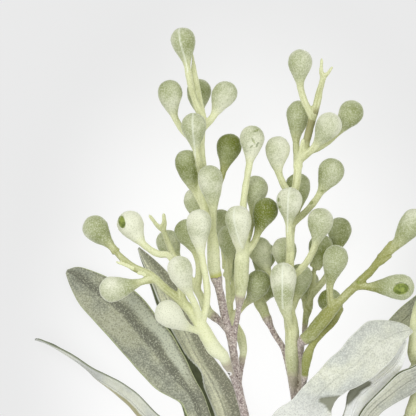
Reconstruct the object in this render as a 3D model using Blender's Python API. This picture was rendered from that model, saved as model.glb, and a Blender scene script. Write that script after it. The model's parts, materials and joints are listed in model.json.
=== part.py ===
"""Wattle bundle: three branching stems of pods and long leaves, tied near their feet.

The bundle lies on its back on the plane z = 0, with its feet at -Y and its heads at +Y. It rests
on the flat under the tie and on one low pod at each side of the heads. Every sprig is pushed on
the end of a brown twig, and every leaf stands on its petiole at a stem's side.

Lengths here are in millimetres, from a point under the stems. Each finished mesh is scaled to
metres and moved so that the middle of the bundle's box is over the origin.
"""

import math
from typing import NamedTuple

import bmesh
import bpy
from mathutils import Matrix, Quaternion, Vector
from mathutils.geometry import interpolate_bezier

METRES_PER_MM = 0.001
UP = Vector((0, 0, 1))
HEADWARD = Vector((0, 1, 0))

# Middle of the bundle's box, in the coordinates of the routes below
BOX_MIDDLE = (4.68, -0.39)

# Driving dimensions
STEM_RADIUS = 2.5
BRANCH_RADIUS = 1.85
BRANCH_LEVELS = (14.0, 36.0)
TWIG_TIP_SWELL = 1.25
POD_RADIUS = 4.8
PEDICEL_RADIUS = 1.35
PEDICEL_REACH = 0.42
ROOT_FLARE = 1.25
SPUR_TAPER = 0.4
AXIS_RADIUS = 1.9
AXIS_SHARE = 0.85
AXIS_TAPER = 0.45
SOCKET_ENTRY = 7.0
LEAF_THICKNESS = 0.7
PETIOLE_RADIUS = 0.9
PETIOLE_TAPER = 0.35
PETIOLE_LAP = 7.0
SEAT_GAP = 0.35

# Tie: turns of twine round the three stems, resting on the surface
TIE_LEVEL = -107
TIE_MIDDLE = (8.0, 7.0)
TIE_INNER_RADIUS = 6.05
TWINE_RADIUS = 0.8
TWINE_TURNS = 6
TIE_STEPS = 16

# Fineness of the faceted tubes and blades
TUBE_RESOLUTION = 2
THIN_RESOLUTION = 1
ROUTE_STEP = 1.2
RING_SPACING = 6.5
STEM_SPACING = 10.4
PEDICEL_SPACING = 8.5
SPUR_SPACING = 4.0
PETIOLE_SPACING = 5.0
END_RING = 1.5
BLADE_SEGMENTS = 10
BLADE_COLUMNS = (-1.0, 0.0, 1.0)

# The blade outline's own value at its widest place
WIDEST_OUTLINE = 0.5198

# Rings of a pod: along its taper, in taper lengths, then over its round end, in pod radii
TAPER_RINGS = (-0.95, -0.55, -0.22)
CROWN_RINGS = (0.2, 0.72, 0.97)


class Material(NamedTuple):
    name: str
    color: tuple
    roughness: float


BARK = Material("flocked_bark", (0.19, 0.135, 0.135), 0.95)
FLOCK = Material("flocked_pod", (0.42, 0.49, 0.30), 0.95)
LEAF_CLOTH = Material("leaf_cloth", (0.24, 0.27, 0.20), 0.85)
TWINE = Material("twine", (0.50, 0.38, 0.22), 0.9)


class Twig(NamedTuple):
    """A side twig: the stem's level that it leaves, its route and its radius."""
    level: float
    route: tuple
    radius: float


class Stem(NamedTuple):
    """A brown stem from its cut foot to the twig end that carries the sprig named first."""
    name: str
    sprig: str
    route: tuple
    twigs: dict


class Pod(NamedTuple):
    """A pod: its middle, its lean right of +Y, its pedicel's level, its taper in pod radii."""
    middle: tuple
    lean: float
    level: float
    taper: float = 2.2


class Spur(NamedTuple):
    """A bare spur: its end, the level where it leaves the axis, and its radius."""
    end: tuple
    level: float
    radius: float = 1.1


class Sprig(NamedTuple):
    """A green sprig: its socket, its axis, its pods and its bare spurs.

    The socket's mouth is a share of its radius, and the socket narrows to the axis between two
    shares of its length.
    """
    name: str
    socket_radius: float
    socket_length: float
    axis: tuple
    pods: tuple
    spurs: tuple = ()
    mouth: float = 0.7
    narrowing: tuple = (0.65, 1.15)


class Leaf(NamedTuple):
    """A leaf: its stem, the level and side of its seat, its route, half width, roll and fold."""
    name: str
    stem: str
    level: float
    side: tuple
    route: tuple
    half_width: float
    roll: float = 0.0
    fold: float = 8.0
    petiole: float = 9.0


STEMS = (
    Stem("stem_left", "sprig_tall_left",
         ((4.0, -162.5, 3.5), (5.25, -120, 5.5), (5.25, -94, 5.6), (4.4, -56, 11.5),
          (2.0, -25, 15.5), (0.0, 1.3, 18.5), (-1.9, 14.3, 20), (-3.4, 20.3, 20.6),
          (-4.8, 27.9, 21.3), (-5.8, 35.5, 21.9), (-7.2, 43.1, 22.5), (-9.3, 50.7, 23.2),
          (-10.8, 58.3, 24), (-12.9, 67.3, 25)),
         {"sprig_upright": Twig(38, ((-5.6, 46.9, 23.8), (-4.7, 51.5, 24.8), (-3.7, 59.7, 26)),
                                1.45),
          "sprig_leaning_left": Twig(21, ((-6.8, 29.6, 26), (-9.1, 34.6, 29)), 1.5),
          "sprig_behind_fork": Twig(24, ((-3.2, 31.0, 17.6), (-2.7, 35.3, 15.8)), 1.0),
          "sprig_low_left": Twig(46, ((-11.6, 49.9, 21), (-13.9, 51.8, 19.2)), 1.2)}),
    Stem("stem_middle", "sprig_middle",
         ((12.6, -162.5, 3.3), (10.75, -120, 5.5), (10.75, -94, 5.6), (12.4, -56, 11),
          (15.2, -25, 16), (17.5, 1.3, 18.8), (17.9, 14.3, 20.2), (17.1, 21.1, 21.2),
          (16.5, 29.8, 23.5)),
         {"sprig_inner_back": Twig(20, ((13.3, 38.6, 17.5), (9.5, 45, 15.8), (6.6, 51.2, 14.6)),
                                   1.15),
          "sprig_right_back": Twig(18, ((19.4, 32, 18.6), (21.4, 48.4, 17.2)), 1.0),
          "sprig_leaning_right": Twig(14, ((20.6, 24, 22.6), (21.6, 30, 24.6), (21.4, 37, 26.3),
                                           (21.7, 43.6, 29.7)), 1.3),
          "sprig_under_right": Twig(11, ((19.2, 18, 23.5), (20.3, 24, 27.8), (20.8, 30, 31)),
                                    1.1)}),
    Stem("stem_right", "sprig_far_upper",
         ((8.4, -162.5, 9.4), (8, -120, 10.1), (8, -94, 10.3), (11.5, -75, 14.2),
          (17.5, -56, 16.5), (25, -25, 18.5), (36, 1.3, 19.5), (46, 12, 20.5), (54, 22, 21.5),
          (58, 30, 22.5)),
         {"sprig_far_low": Twig(14, ((56, 20.5, 18.8), (60.5, 26, 17.4)), 1.3),
          "sprig_far_front": Twig(6, ((49.5, 9.6, 20.6), (57, 11.5, 20.5)), 1.3)}),
)

SPRIGS = (
    Sprig("sprig_tall_left", 2.5, 15,
          ((-14.4, 84.2, 27), (-16.7, 94.4, 27.5), (-16.7, 108.5, 28), (-17.9, 118.4, 28),
           (-18.2, 126.7, 28), (-19.4, 134.3, 27.5), (-20.5, 143.8, 27), (-21.3, 153.3, 26.5)),
          (Pod((-25.5, 157.1, 31), -11, 128), Pod((-30.4, 137.4, 27), -3, 117),
           Pod((-19.4, 138.1, 19.5), 5, 126), Pod((-9.5, 137, 27.5), 32, 124),
           Pod((-21.3, 124.5, 35), -3, 107), Pod((-24.3, 110.8, 26), -14, 94),
           Pod((-15.2, 104.7, 35.5), -8, 84, 3.0), Pod((-8, 116.9, 21), 13, 96),
           Pod((-22.8, 96.3, 19), -10, 83)),
          mouth=0.9),
    Sprig("sprig_upright", 2.9, 22,
          ((-3.2, 69.7, 28), (-2.7, 77.3, 29), (-1.5, 84, 29.5)),
          (Pod((-4.6, 89.5, 35.5), -10, 75, 3.2), Pod((0.8, 119.9, 31), 3, 82),
           Pod((2.3, 100.9, 23), 5, 76), Pod((6.1, 92.5, 28.5), 25, 75))),
    Sprig("sprig_behind_fork", 1.7, 12,
          ((-5.3, 50.7, 13), (-7.2, 58.3, 12), (-9.1, 65.9, 11), (-9.2, 72, 10.5)),
          (Pod((-7.6, 82, 14.5), 4, 67), Pod((-10.8, 88, 7.5), -6, 70),
           Pod((-4.6, 72.8, 6.5), 20, 58), Pod((3.4, 64.8, 21), 12, 50))),
    Sprig("sprig_leaning_left", 3.05, 14,
          ((-13.3, 39.6, 30.8), (-20.9, 52.3, 32), (-26.6, 58.3, 32.5), (-32.3, 62.9, 32),
           (-37.2, 67.5, 31.5), (-45.6, 71.6, 30.3), (-52.4, 78.1, 29)),
          (Pod((-58.9, 85.7, 28), -38, 76.5), Pod((-52.4, 62.5, 34), -98, 66.5, 2.6),
           Pod((-45.6, 86.5, 29), -29, 55), Pod((-26.6, 70.5, 40), -13, 50, 2.6),
           Pod((-31.2, 53.8, 40), -50, 46, 2.6), Pod((-19.4, 88, 38), 2, 49, 2.9)),
          (Spur((-51.2, 73.0, 31.5), 70, 0.9),),
          narrowing=(0.5, 2.6)),
    Sprig("sprig_low_left", 2.0, 9,
          ((-18.2, 58.3, 15.5), (-24.3, 67.8, 12), (-28.9, 74.3, 11.5), (-31.9, 81.1, 13),
           (-33.6, 86.8, 14.5)),
          (Pod((-31.5, 80, 4.55), -15, 69), Pod((-24.3, 84.2, 8.5), -25, 62)),
          (Spur((-38.8, 90.6, 16), 85), Spur((-33.0, 91.4, 15.5), 86))),
    Sprig("sprig_middle", 2.8, 20,
          ((16, 46.9, 27), (14.4, 58.3, 28), (15.2, 72.8, 28.5), (14.4, 86.9, 28.5),
           (15.6, 94.4, 28.5), (17.1, 102, 28.5), (18.2, 111.5, 28.5), (20.9, 117.2, 28),
           (23.6, 126.7, 27.5), (25.1, 131.3, 27.5), (26.6, 138.1, 27.5), (28.3, 144, 27.5)),
          (Pod((12.5, 67.8, 36), 0, 51, 3.2), Pod((14.8, 95.6, 36), 3, 77),
           Pod((10.3, 115.3, 28), 7, 98), Pod((30.8, 107, 30), 35, 89),
           Pod((18.6, 102, 20), -8, 85), Pod((18.2, 127.5, 21.5), 16, 109),
           Pod((19, 147.6, 29), 0, 128), Pod((30, 124.8, 33), 35, 112),
           Pod((38.8, 129.8, 25), 33, 114), Pod((26.6, 88, 34), 16, 68),
           Pod((13.3, 77.3, 21.3), -5, 60), Pod((19.4, 67.1, 20.5), 5, 53),
           Pod((3.8, 77.3, 17.5), -22, 56)),
          (Spur((27.3, 150.4, 28), 143, 0.8), Spur((31.6, 147.2, 28), 142.5, 0.8))),
    Sprig("sprig_inner_back", 2.0, 9,
          ((3.0, 59.5, 12), (2.6, 67, 10)),
          (Pod((6, 75, 6.4), 20, 66), Pod((8.5, 63.4, 6.2), 50, 56))),
    Sprig("sprig_right_back", 1.7, 9,
          ((23.2, 56.4, 15), (24.7, 65.9, 12.5), (25.5, 71.6, 11.5)),
          (Pod((27.7, 78.4, 11.5), 12, 70), Pod((35.3, 84.9, 4.55), 8, 60),
           Pod((22.6, 64.5, 6.3), -5, 54))),
    Sprig("sprig_leaning_right", 3.0, 14,
          ((25.8, 48.8, 31.8), (32.3, 56.4, 33.5), (36.1, 60.2, 34.5), (41, 65.2, 35.5),
           (46.4, 70.5, 36), (51.3, 77.3, 36), (54.6, 82.3, 36)),
          (Pod((61.2, 87.6, 36), 50, 80), Pod((57, 63.7, 36.5), 92, 64, 2.8),
           Pod((33.1, 73.5, 38), 27, 53)),
          (Spur((53.8, 75.0, 38), 71, 0.9),),
          mouth=0.8, narrowing=(0.5, 1.7)),
    Sprig("sprig_under_right", 1.8, 10,
          ((22.2, 35.9, 31.6), (25.5, 40.6, 31), (28.2, 43.8, 28.5), (32.6, 50, 26),
           (35.3, 55.3, 24.5)),
          (Pod((30.8, 57.6, 22), -22, 45),)),
    Sprig("sprig_far_upper", 2.3, 12,
          ((60.3, 36, 23.2), (62.5, 44, 24), (66, 55, 26), (70, 66, 27)),
          (Pod((74.5, 77, 27), 20, 64), Pod((82, 66.5, 29), 52, 54), Pod((71, 61.5, 35), 24, 47),
           Pod((75.5, 55, 19.5), 60, 46))),
    Sprig("sprig_far_low", 2.0, 9,
          ((66, 32.5, 16), (73, 39, 14), (79, 44, 13)),
          (Pod((86.5, 49.5, 12), 50, 42), Pod((85, 37, 15.5), 85, 36), Pod((70, 44.5, 8), 15, 34))),
    Sprig("sprig_far_front", 2.2, 10,
          ((61.6, 14.4, 20.8), (63.2, 21, 21), (66.5, 27, 20.5), (71.5, 31, 19.5)),
          (Pod((81, 30, 22), 92, 30), Pod((73.5, 20.5, 24), 120, 23), Pod((77, 20, 14.5), 100, 18))),
)

LEAVES = (
    Leaf("leaf_broad_left", "stem_left", -3, (-1, 0.1),
         ((-7, 3.5, 18.4), (-13.5, 9, 18), (-19, 14.3, 17.5), (-30.4, 27.9, 15.5),
          (-38.8, 41.2, 13), (-49.4, 52.6, 9.5), (-57, 59.5, 7), (-69.5, 69.7, 3.5)),
         8.4, 0.0, 6.0, 14.0),
    Leaf("leaf_folded_left", "stem_left", -15, (-0.6, -0.8),
         ((-1.5, -5, 12.5), (-4, 0, 12), (-9.1, 14.3, 11), (-15.2, 27.9, 10), (-25.5, 46.9, 8),
          (-37.2, 69.7, 4.5), (-42.2, 78.1, 3.2)),
         5.6, 0.0, 28.0),
    Leaf("leaf_edgewise_left", "stem_left", -28, (-1, -0.3),
         ((-7, -18, 14.5), (-13.3, -11, 13.5), (-26.6, 1.8, 12), (-39.5, 13.8, 10.5),
          (-53.2, 25.8, 8.5), (-72.2, 38.6, 6), (-81.7, 43.5, 5)),
         6.2, -62.0, 6.0),
    Leaf("leaf_pale_right", "stem_middle", -19, (0.1, 1),
         ((16.6, -10, 22.5), (18.2, 0, 26), (20.6, 12, 30), (24.6, 19.6, 32.5),
          (30.4, 26, 34.5), (36.1, 31, 35.5), (42.6, 36.3, 36), (49.4, 40.9, 35),
          (56.2, 45, 33), (61.6, 46.9, 31)),
         8.8, 0.0, 6.0),
    Leaf("leaf_dark_right", "stem_right", -1, (0.6, -0.8),
         ((41.5, 11, 14), (46, 24, 13.5), (50, 35, 13), (56.5, 46.5, 12), (67, 56.4, 10),
          (79, 67, 7.5)),
         6.0, 8.0, 6.0),
    Leaf("leaf_grey_right", "stem_right", -22, (-0.2, 1),
         ((29, -10, 24), (33.5, 2, 25), (38, 12, 25.8), (44, 22, 27), (52, 31.5, 28),
          (58.5, 41.5, 28.5)),
         4.8, -10.0, 10.0),
    Leaf("leaf_slim_right", "stem_right", -6, (0.9, 0.5),
         ((40.4, 1.3, 24.6), (43.8, 7.8, 28), (48.6, 15.6, 31), (55.1, 22.8, 32.3), (60.8, 27.2, 32.3),
          (68.4, 32, 31), (80, 38, 27.5)),
         4.2, 5.0, 10.0),
    Leaf("leaf_low_left", "stem_left", -45, (-1, -0.2),
         ((-14, -35, 11.5), (-32, -24, 9), (-52, -12, 6), (-70, -4, 3)),
         7.0, -6.0, 10.0),
    Leaf("leaf_low_right", "stem_right", -44, (1, -0.1),
         ((36, -37, 15), (54, -28, 11), (72, -20, 7), (86, -14, 3.2)),
         6.5, 8.0, 10.0),
    Leaf("leaf_over_stems", "stem_left", -52, (-0.1, 1),
         ((3, -40, 20), (4, -24, 25), (6, -8, 27), (8, 8, 27)),
         6.2, 6.0, 10.0),
    Leaf("leaf_foot_left", "stem_left", -66, (-1, 0.3),
         ((-12, -58, 14), (-30, -51, 13), (-48, -48, 9.5), (-62, -49, 4)),
         6.0, -8.0, 10.0),
    Leaf("leaf_foot_right", "stem_right", -62, (1, 0.2),
         ((30, -57, 17.5), (46, -55, 14.5), (62, -49, 8.5), (74, -43, 3.5)),
         5.6, 10.0, 10.0),
)

# Sprigs with a low pod that the bundle rests on
RESTING_SPRIGS = ("sprig_low_left", "sprig_right_back")


def clear_scene():
    for item in list(bpy.data.objects):
        bpy.data.objects.remove(item)


def principled(finish):
    material = bpy.data.materials.new(finish.name)
    material.use_nodes = True
    shader = material.node_tree.nodes["Principled BSDF"]
    shader.inputs["Base Color"].default_value = (*finish.color, 1.0)
    shader.inputs["Roughness"].default_value = finish.roughness
    shader.inputs["Metallic"].default_value = 0.0
    return material


def add_object(name, mesh):
    item = bpy.data.objects.new(name, mesh)
    bpy.context.scene.collection.objects.link(item)
    return item


def evaluated_mesh(item):
    """A new mesh of the object as its modifiers or its bevel make it."""
    graph = bpy.context.evaluated_depsgraph_get()
    return bpy.data.meshes.new_from_object(item.evaluated_get(graph))


def apply_modifiers(item):
    mesh = evaluated_mesh(item)
    item.modifiers.clear()
    item.data = mesh


def smooth_route(points):
    """Points a little over a millimetre apart on a smooth curve through the given ones."""
    knots = [Vector(point) for point in points]
    spans = [(end - start).length for start, end in zip(knots, knots[1:])]
    slopes = []
    for index in range(len(knots)):
        before = max(index - 1, 0)
        after = min(index + 1, len(knots) - 1)
        slopes.append((knots[after] - knots[before]) / sum(spans[before:after]))
    route = []
    for index, span in enumerate(spans):
        start = knots[index]
        end = knots[index + 1]
        reach = span / 3
        count = max(3, math.ceil(span / ROUTE_STEP))
        route += interpolate_bezier(start, start + slopes[index] * reach,
                                    end - slopes[index + 1] * reach, end, count)[:-1]
    return route + [knots[-1]]


def route_length(route):
    return sum((end - start).length for start, end in zip(route, route[1:]))


def at_distance(route, distance):
    """The point at a distance along a route, and the route's direction there."""
    for start, end in zip(route, route[1:]):
        span = (end - start).length
        heading = (end - start).normalized()
        if distance <= span:
            return start + heading * distance, heading
        distance -= span
    return route[-1].copy(), heading


def at_level(route, level):
    """The point of a route at a level along Y, and its distance from the route's start."""
    travelled = 0.0
    for start, end in zip(route, route[1:]):
        if start.y <= level <= end.y:
            share = (level - start.y) / (end.y - start.y)
            return start.lerp(end, share), travelled + (end - start).length * share
        travelled += (end - start).length
    return route[-1].copy(), travelled


def even_distances(first, last, spacing):
    """Distances from first to last, both included, about the spacing apart."""
    count = max(1, round((last - first) / spacing))
    return [first + (last - first) * step / count for step in range(count + 1)]


def squared_end(distances):
    """The distances with one more ring close to the last, so that the end stands square."""
    return distances[:-1] + [distances[-1] - END_RING, distances[-1]]


def tube(name, route, distances, radii, resolution=TUBE_RESOLUTION):
    """A closed round tube along a route, with a ring of its own radius at each distance."""
    curve = bpy.data.curves.new(name, "CURVE")
    curve.dimensions = "3D"
    curve.bevel_depth = 1.0
    curve.bevel_resolution = resolution
    curve.use_fill_caps = True
    spline = curve.splines.new("POLY")
    spline.points.add(len(distances) - 1)
    for ring, distance, radius in zip(spline.points, distances, radii):
        ring.co = (*at_distance(route, distance)[0], 1.0)
        ring.radius = radius
    guide = add_object(name + "_guide", curve)
    item = add_object(name, evaluated_mesh(guide))
    bpy.data.objects.remove(guide)
    return item


def fuse(base, parts):
    """The base with the parts joined to it in one closed body."""
    if parts:
        group = bpy.data.collections.new(base.name + "_parts")
        bpy.context.scene.collection.children.link(group)
        for part in parts:
            bpy.context.scene.collection.objects.unlink(part)
            group.objects.link(part)
        union = base.modifiers.new("union", "BOOLEAN")
        union.operation = "UNION"
        union.operand_type = "COLLECTION"
        union.collection = group
        union.solver = "EXACT"
        apply_modifiers(base)
        for part in parts:
            bpy.data.objects.remove(part)
        bpy.data.collections.remove(group)
    return base


def flatten_on_surface(item):
    """Cut off what lies under z = 0, which leaves a small flat spot to rest on."""
    shape = bmesh.new()
    shape.from_mesh(item.data)
    everything = shape.verts[:] + shape.edges[:] + shape.faces[:]
    cut = bmesh.ops.bisect_plane(shape, geom=everything, plane_co=(0, 0, 0), plane_no=UP,
                                 clear_inner=True)
    rim = [edge for edge in cut["geom_cut"] if isinstance(edge, bmesh.types.BMEdge)]
    bmesh.ops.edgeloop_fill(shape, edges=rim)
    shape.to_mesh(item.data)
    shape.free()


def finish(item, material):
    """Set a finished mesh in its place, in metres, with its smooth shading and its material."""
    item.data.transform(Matrix.Translation((-BOX_MIDDLE[0], -BOX_MIDDLE[1], 0.0)))
    item.data.transform(Matrix.Scale(METRES_PER_MM, 4))
    shape = bmesh.new()
    shape.from_mesh(item.data)
    bmesh.ops.recalc_face_normals(shape, faces=shape.faces)
    shape.to_mesh(item.data)
    shape.free()
    item.data.materials.clear()
    item.data.materials.append(material)
    item.data.shade_smooth()
    item.data.set_sharp_from_angle(angle=math.radians(50))
    return item


def stem_route(stem):
    return smooth_route(stem.route)


def twig_route(stem, twig):
    return smooth_route((at_level(stem_route(stem), twig.level)[0], *twig.route))


def eased(share):
    """A share from 0 to 1, smooth at both ends."""
    return 0.5 - 0.5 * math.cos(math.pi * min(max(share, 0.0), 1.0))


def stem_radii(route, distances):
    """A stem's radii: it thins where it branches, and swells at the end a sprig is pushed on."""
    low, high = BRANCH_LEVELS
    radii = []
    for distance in distances:
        level = at_distance(route, distance)[0].y
        radii.append(STEM_RADIUS + (BRANCH_RADIUS - STEM_RADIUS) * eased((level - low) / (high - low)))
    radii[-1] *= TWIG_TIP_SWELL
    return radii


def twig_radii(distances, radius):
    """A twig's radii, which swell at the end that a sprig is pushed on."""
    return [radius * (TWIG_TIP_SWELL if distance == distances[-1] else 1.0)
            for distance in distances]


def build_stem(stem, material):
    main = stem_route(stem)
    distances = squared_end(even_distances(0.0, route_length(main), STEM_SPACING))
    base = tube(stem.name, main, distances, stem_radii(main, distances))
    twigs = []
    for sprig, twig in stem.twigs.items():
        route = twig_route(stem, twig)
        steps = squared_end(even_distances(0.0, route_length(route), RING_SPACING))
        twigs.append(tube(sprig + "_twig", route, steps, twig_radii(steps, twig.radius)))
    return finish(fuse(base, twigs), material)


def twig_ends():
    """The end point and heading of the twig that each sprig is pushed on."""
    ends = {}
    for stem in STEMS:
        routes = {stem.sprig: stem_route(stem)}
        for sprig, twig in stem.twigs.items():
            routes[sprig] = twig_route(stem, twig)
        for sprig, route in routes.items():
            ends[sprig] = (route[-1], (route[-1] - route[-2]).normalized())
    return ends


def axis_radius(sprig, distance, length):
    """A sprig's radius: its socket widens from its mouth, then narrows to a tapering axis."""
    low, high = sprig.narrowing
    socket = sprig.socket_radius * (
        sprig.mouth + (1 - sprig.mouth) * eased(distance / SOCKET_ENTRY))
    blend = eased((distance / sprig.socket_length - low) / (high - low))
    axis = (min(AXIS_RADIUS, sprig.socket_radius * AXIS_SHARE)
            - AXIS_TAPER * distance / length)
    return socket + (axis - socket) * blend


def sprig_axis(sprig, ends):
    end, heading = ends[sprig.name]
    start = end + heading * SEAT_GAP
    return smooth_route((start, start + heading * 3.0, *sprig.axis))


def pedicel_route(axis, middle, pointing, level):
    """A curved route from the axis at a level to a point, arriving in a given direction."""
    root, travelled = at_level(axis, level)
    heading = at_distance(axis, travelled)[1]
    reach = (middle - root).length * PEDICEL_REACH
    leaving = (heading + (middle - root).normalized()).normalized()
    return interpolate_bezier(root, root + leaving * reach, middle - pointing * reach, middle, 24)


def pod_rings(taper):
    """A pod's rings as (offset from its middle, radius): along its taper, then its round end."""
    rings = [(share * taper * POD_RADIUS,
              PEDICEL_RADIUS + (POD_RADIUS - PEDICEL_RADIUS) * eased(1 + share))
             for share in TAPER_RINGS]
    return rings + [(share * POD_RADIUS, POD_RADIUS * math.sqrt(1 - share ** 2))
                    for share in CROWN_RINGS]


def build_pod(name, axis, pod):
    middle = Vector(pod.middle)
    root = at_level(axis, pod.level)[0]
    lean = math.radians(pod.lean)
    rise = 0.5 * (middle.z - root.z) / (middle - root).length
    pointing = Vector((math.sin(lean), math.cos(lean), rise)).normalized()
    route = pedicel_route(axis, middle, pointing, pod.level)
    reach = route_length(route)
    route.append(middle + pointing * POD_RADIUS)
    rings = pod_rings(pod.taper)
    taper_start = reach + rings[0][0]
    distances = even_distances(0.0, max(taper_start, 2.0), PEDICEL_SPACING)[:-1]
    radii = [PEDICEL_RADIUS * (ROOT_FLARE if distance == 0.0 else 1.0) for distance in distances]
    for offset, radius in rings:
        distance = reach + offset
        if distance > distances[-1] + 0.5:
            distances.append(distance)
            radii.append(radius)
    return tube(name, route, distances, radii)


def build_spur(name, axis, spur):
    end = Vector(spur.end)
    pointing = (end - at_level(axis, spur.level)[0]).normalized()
    route = pedicel_route(axis, end, pointing, spur.level)
    length = route_length(route)
    distances = even_distances(0.0, length, SPUR_SPACING)
    radii = [spur.radius * (1.0 - SPUR_TAPER * distance / length) for distance in distances]
    return tube(name, route, distances, radii, THIN_RESOLUTION)


def build_sprig(sprig, ends, material):
    axis = sprig_axis(sprig, ends)
    length = route_length(axis)
    distances = [0.0] + even_distances(END_RING, length, RING_SPACING)
    radii = [axis_radius(sprig, distance, length) for distance in distances]
    base = tube(sprig.name, axis, distances, radii)
    parts = [build_pod(f"{sprig.name}_pod_{number}", axis, pod)
             for number, pod in enumerate(sprig.pods)]
    parts += [build_spur(f"{sprig.name}_spur_{number}", axis, spur)
              for number, spur in enumerate(sprig.spurs)]
    fuse(base, parts)
    if sprig.name in RESTING_SPRIGS:
        flatten_on_surface(base)
    return finish(base, material)


def leaf_half_width(share, half_width):
    """A blade's half width: widest past its middle, with a blunt tip and a drawn-out base."""
    outline = share ** 0.75 * (1 - share) ** 0.4 / WIDEST_OUTLINE
    return max(half_width * outline, 1.1 if share < 0.5 else 0.6)


def leaf_spine(leaf):
    """A leaf's middle line, from its seat on the stem's side to its tip."""
    stem = next(stem for stem in STEMS if stem.name == leaf.stem)
    centre = at_level(stem_route(stem), leaf.level)[0]
    outward = Vector((leaf.side[0], 0, leaf.side[1])).normalized()
    seat = centre + outward * (STEM_RADIUS + PETIOLE_RADIUS + SEAT_GAP)
    return smooth_route((seat, seat + outward * 2 + HEADWARD * 2, *leaf.route))


def build_blade(leaf, spine):
    length = route_length(spine)
    shape = bmesh.new()
    rows = []
    for step in range(BLADE_SEGMENTS + 1):
        share = step / BLADE_SEGMENTS
        middle, forward = at_distance(spine, leaf.petiole + (length - leaf.petiole) * share)
        side = forward.cross(UP).normalized()
        side.rotate(Quaternion(forward, math.radians(leaf.roll)))
        face = side.cross(forward)
        half = leaf_half_width(share, leaf.half_width)
        fall = math.tan(math.radians(leaf.fold))
        rows.append([shape.verts.new(middle + side * half * column - face * half * fall * abs(column))
                     for column in BLADE_COLUMNS])
    for near, far in zip(rows, rows[1:]):
        for column in range(len(BLADE_COLUMNS) - 1):
            shape.faces.new((near[column], near[column + 1], far[column + 1], far[column]))
    bmesh.ops.triangulate(shape, faces=shape.faces)
    mesh = bpy.data.meshes.new(leaf.name)
    shape.to_mesh(mesh)
    shape.free()
    blade = add_object(leaf.name, mesh)
    thickness = blade.modifiers.new("thickness", "SOLIDIFY")
    thickness.thickness = LEAF_THICKNESS
    thickness.offset = 0.0
    apply_modifiers(blade)
    return blade


def build_leaf(leaf, material):
    spine = leaf_spine(leaf)
    distances = even_distances(0.0, leaf.petiole + PETIOLE_LAP, PETIOLE_SPACING)
    radii = [PETIOLE_RADIUS * (1.0 - PETIOLE_TAPER * distance / distances[-1])
             for distance in distances]
    petiole = tube(leaf.name + "_petiole", spine, distances, radii, THIN_RESOLUTION)
    return finish(fuse(build_blade(leaf, spine), [petiole]), material)


def tie_profile():
    """The tie's section, as (level, radius): a ridge for each turn of twine."""
    width = 2 * TWINE_RADIUS * TWINE_TURNS
    groove = TIE_INNER_RADIUS + 0.9
    crest = TIE_INNER_RADIUS + 1.4
    points = [(-width / 2, TIE_INNER_RADIUS), (-width / 2, groove)]
    for turn in range(TWINE_TURNS):
        start = -width / 2 + 2 * TWINE_RADIUS * turn
        points += [(start + 0.3, crest), (start + 2 * TWINE_RADIUS - 0.3, crest),
                   (start + 2 * TWINE_RADIUS, groove)]
    return points + [(width / 2, TIE_INNER_RADIUS)]


def build_tie(material):
    shape = bmesh.new()
    rings = []
    for step in range(TIE_STEPS):
        angle = 2 * math.pi * (step + 0.5) / TIE_STEPS - math.pi / 2
        rings.append([shape.verts.new((TIE_MIDDLE[0] + radius * math.cos(angle),
                                       TIE_LEVEL + level,
                                       max(TIE_MIDDLE[1] + radius * math.sin(angle), 0.0)))
                      for level, radius in tie_profile()])
    for ring, following in zip(rings, rings[1:] + rings[:1]):
        for corner in range(len(ring)):
            nearby = (corner + 1) % len(ring)
            shape.faces.new((ring[corner], ring[nearby], following[nearby], following[corner]))
    mesh = bpy.data.meshes.new("twine_tie")
    shape.to_mesh(mesh)
    shape.free()
    band = add_object("twine_tie", mesh)
    knot_z = TIE_MIDDLE[1] + TIE_INNER_RADIUS + 1.6
    ends = ((-9.5, -113, 12.2), (-1, -110, 14.6), (6.6, -107.4, knot_z), (9.4, -106.6, knot_z),
            (16.5, -110.5, 13.8), (21, -117, 9.5))
    route = smooth_route(ends)
    distances = even_distances(0.0, route_length(route), 3.0)
    middle = distances[-1] / 2
    radii = [TWINE_RADIUS + 1.3 * math.exp(-((distance - middle) / 2.4) ** 2)
             for distance in distances]
    knot = tube("twine_knot", route, distances, radii, THIN_RESOLUTION)
    return finish(fuse(band, [knot]), material)


def build_bundle():
    clear_scene()
    bark = principled(BARK)
    flock = principled(FLOCK)
    cloth = principled(LEAF_CLOTH)
    twine = principled(TWINE)
    for stem in STEMS:
        build_stem(stem, bark)
    ends = twig_ends()
    for sprig in SPRIGS:
        build_sprig(sprig, ends, flock)
    for leaf in LEAVES:
        build_leaf(leaf, cloth)
    build_tie(twine)


build_bundle()
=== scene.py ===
import json
import math
from typing import NamedTuple

import bmesh
import bpy
import numpy as np
from bpy.props import FloatProperty, FloatVectorProperty, IntProperty, PointerProperty
from bpy.types import Operator, Panel, PropertyGroup
from mathutils import Matrix, Quaternion, Vector, noise
from mathutils.bvhtree import BVHTree
from mathutils.geometry import interpolate_bezier

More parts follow.
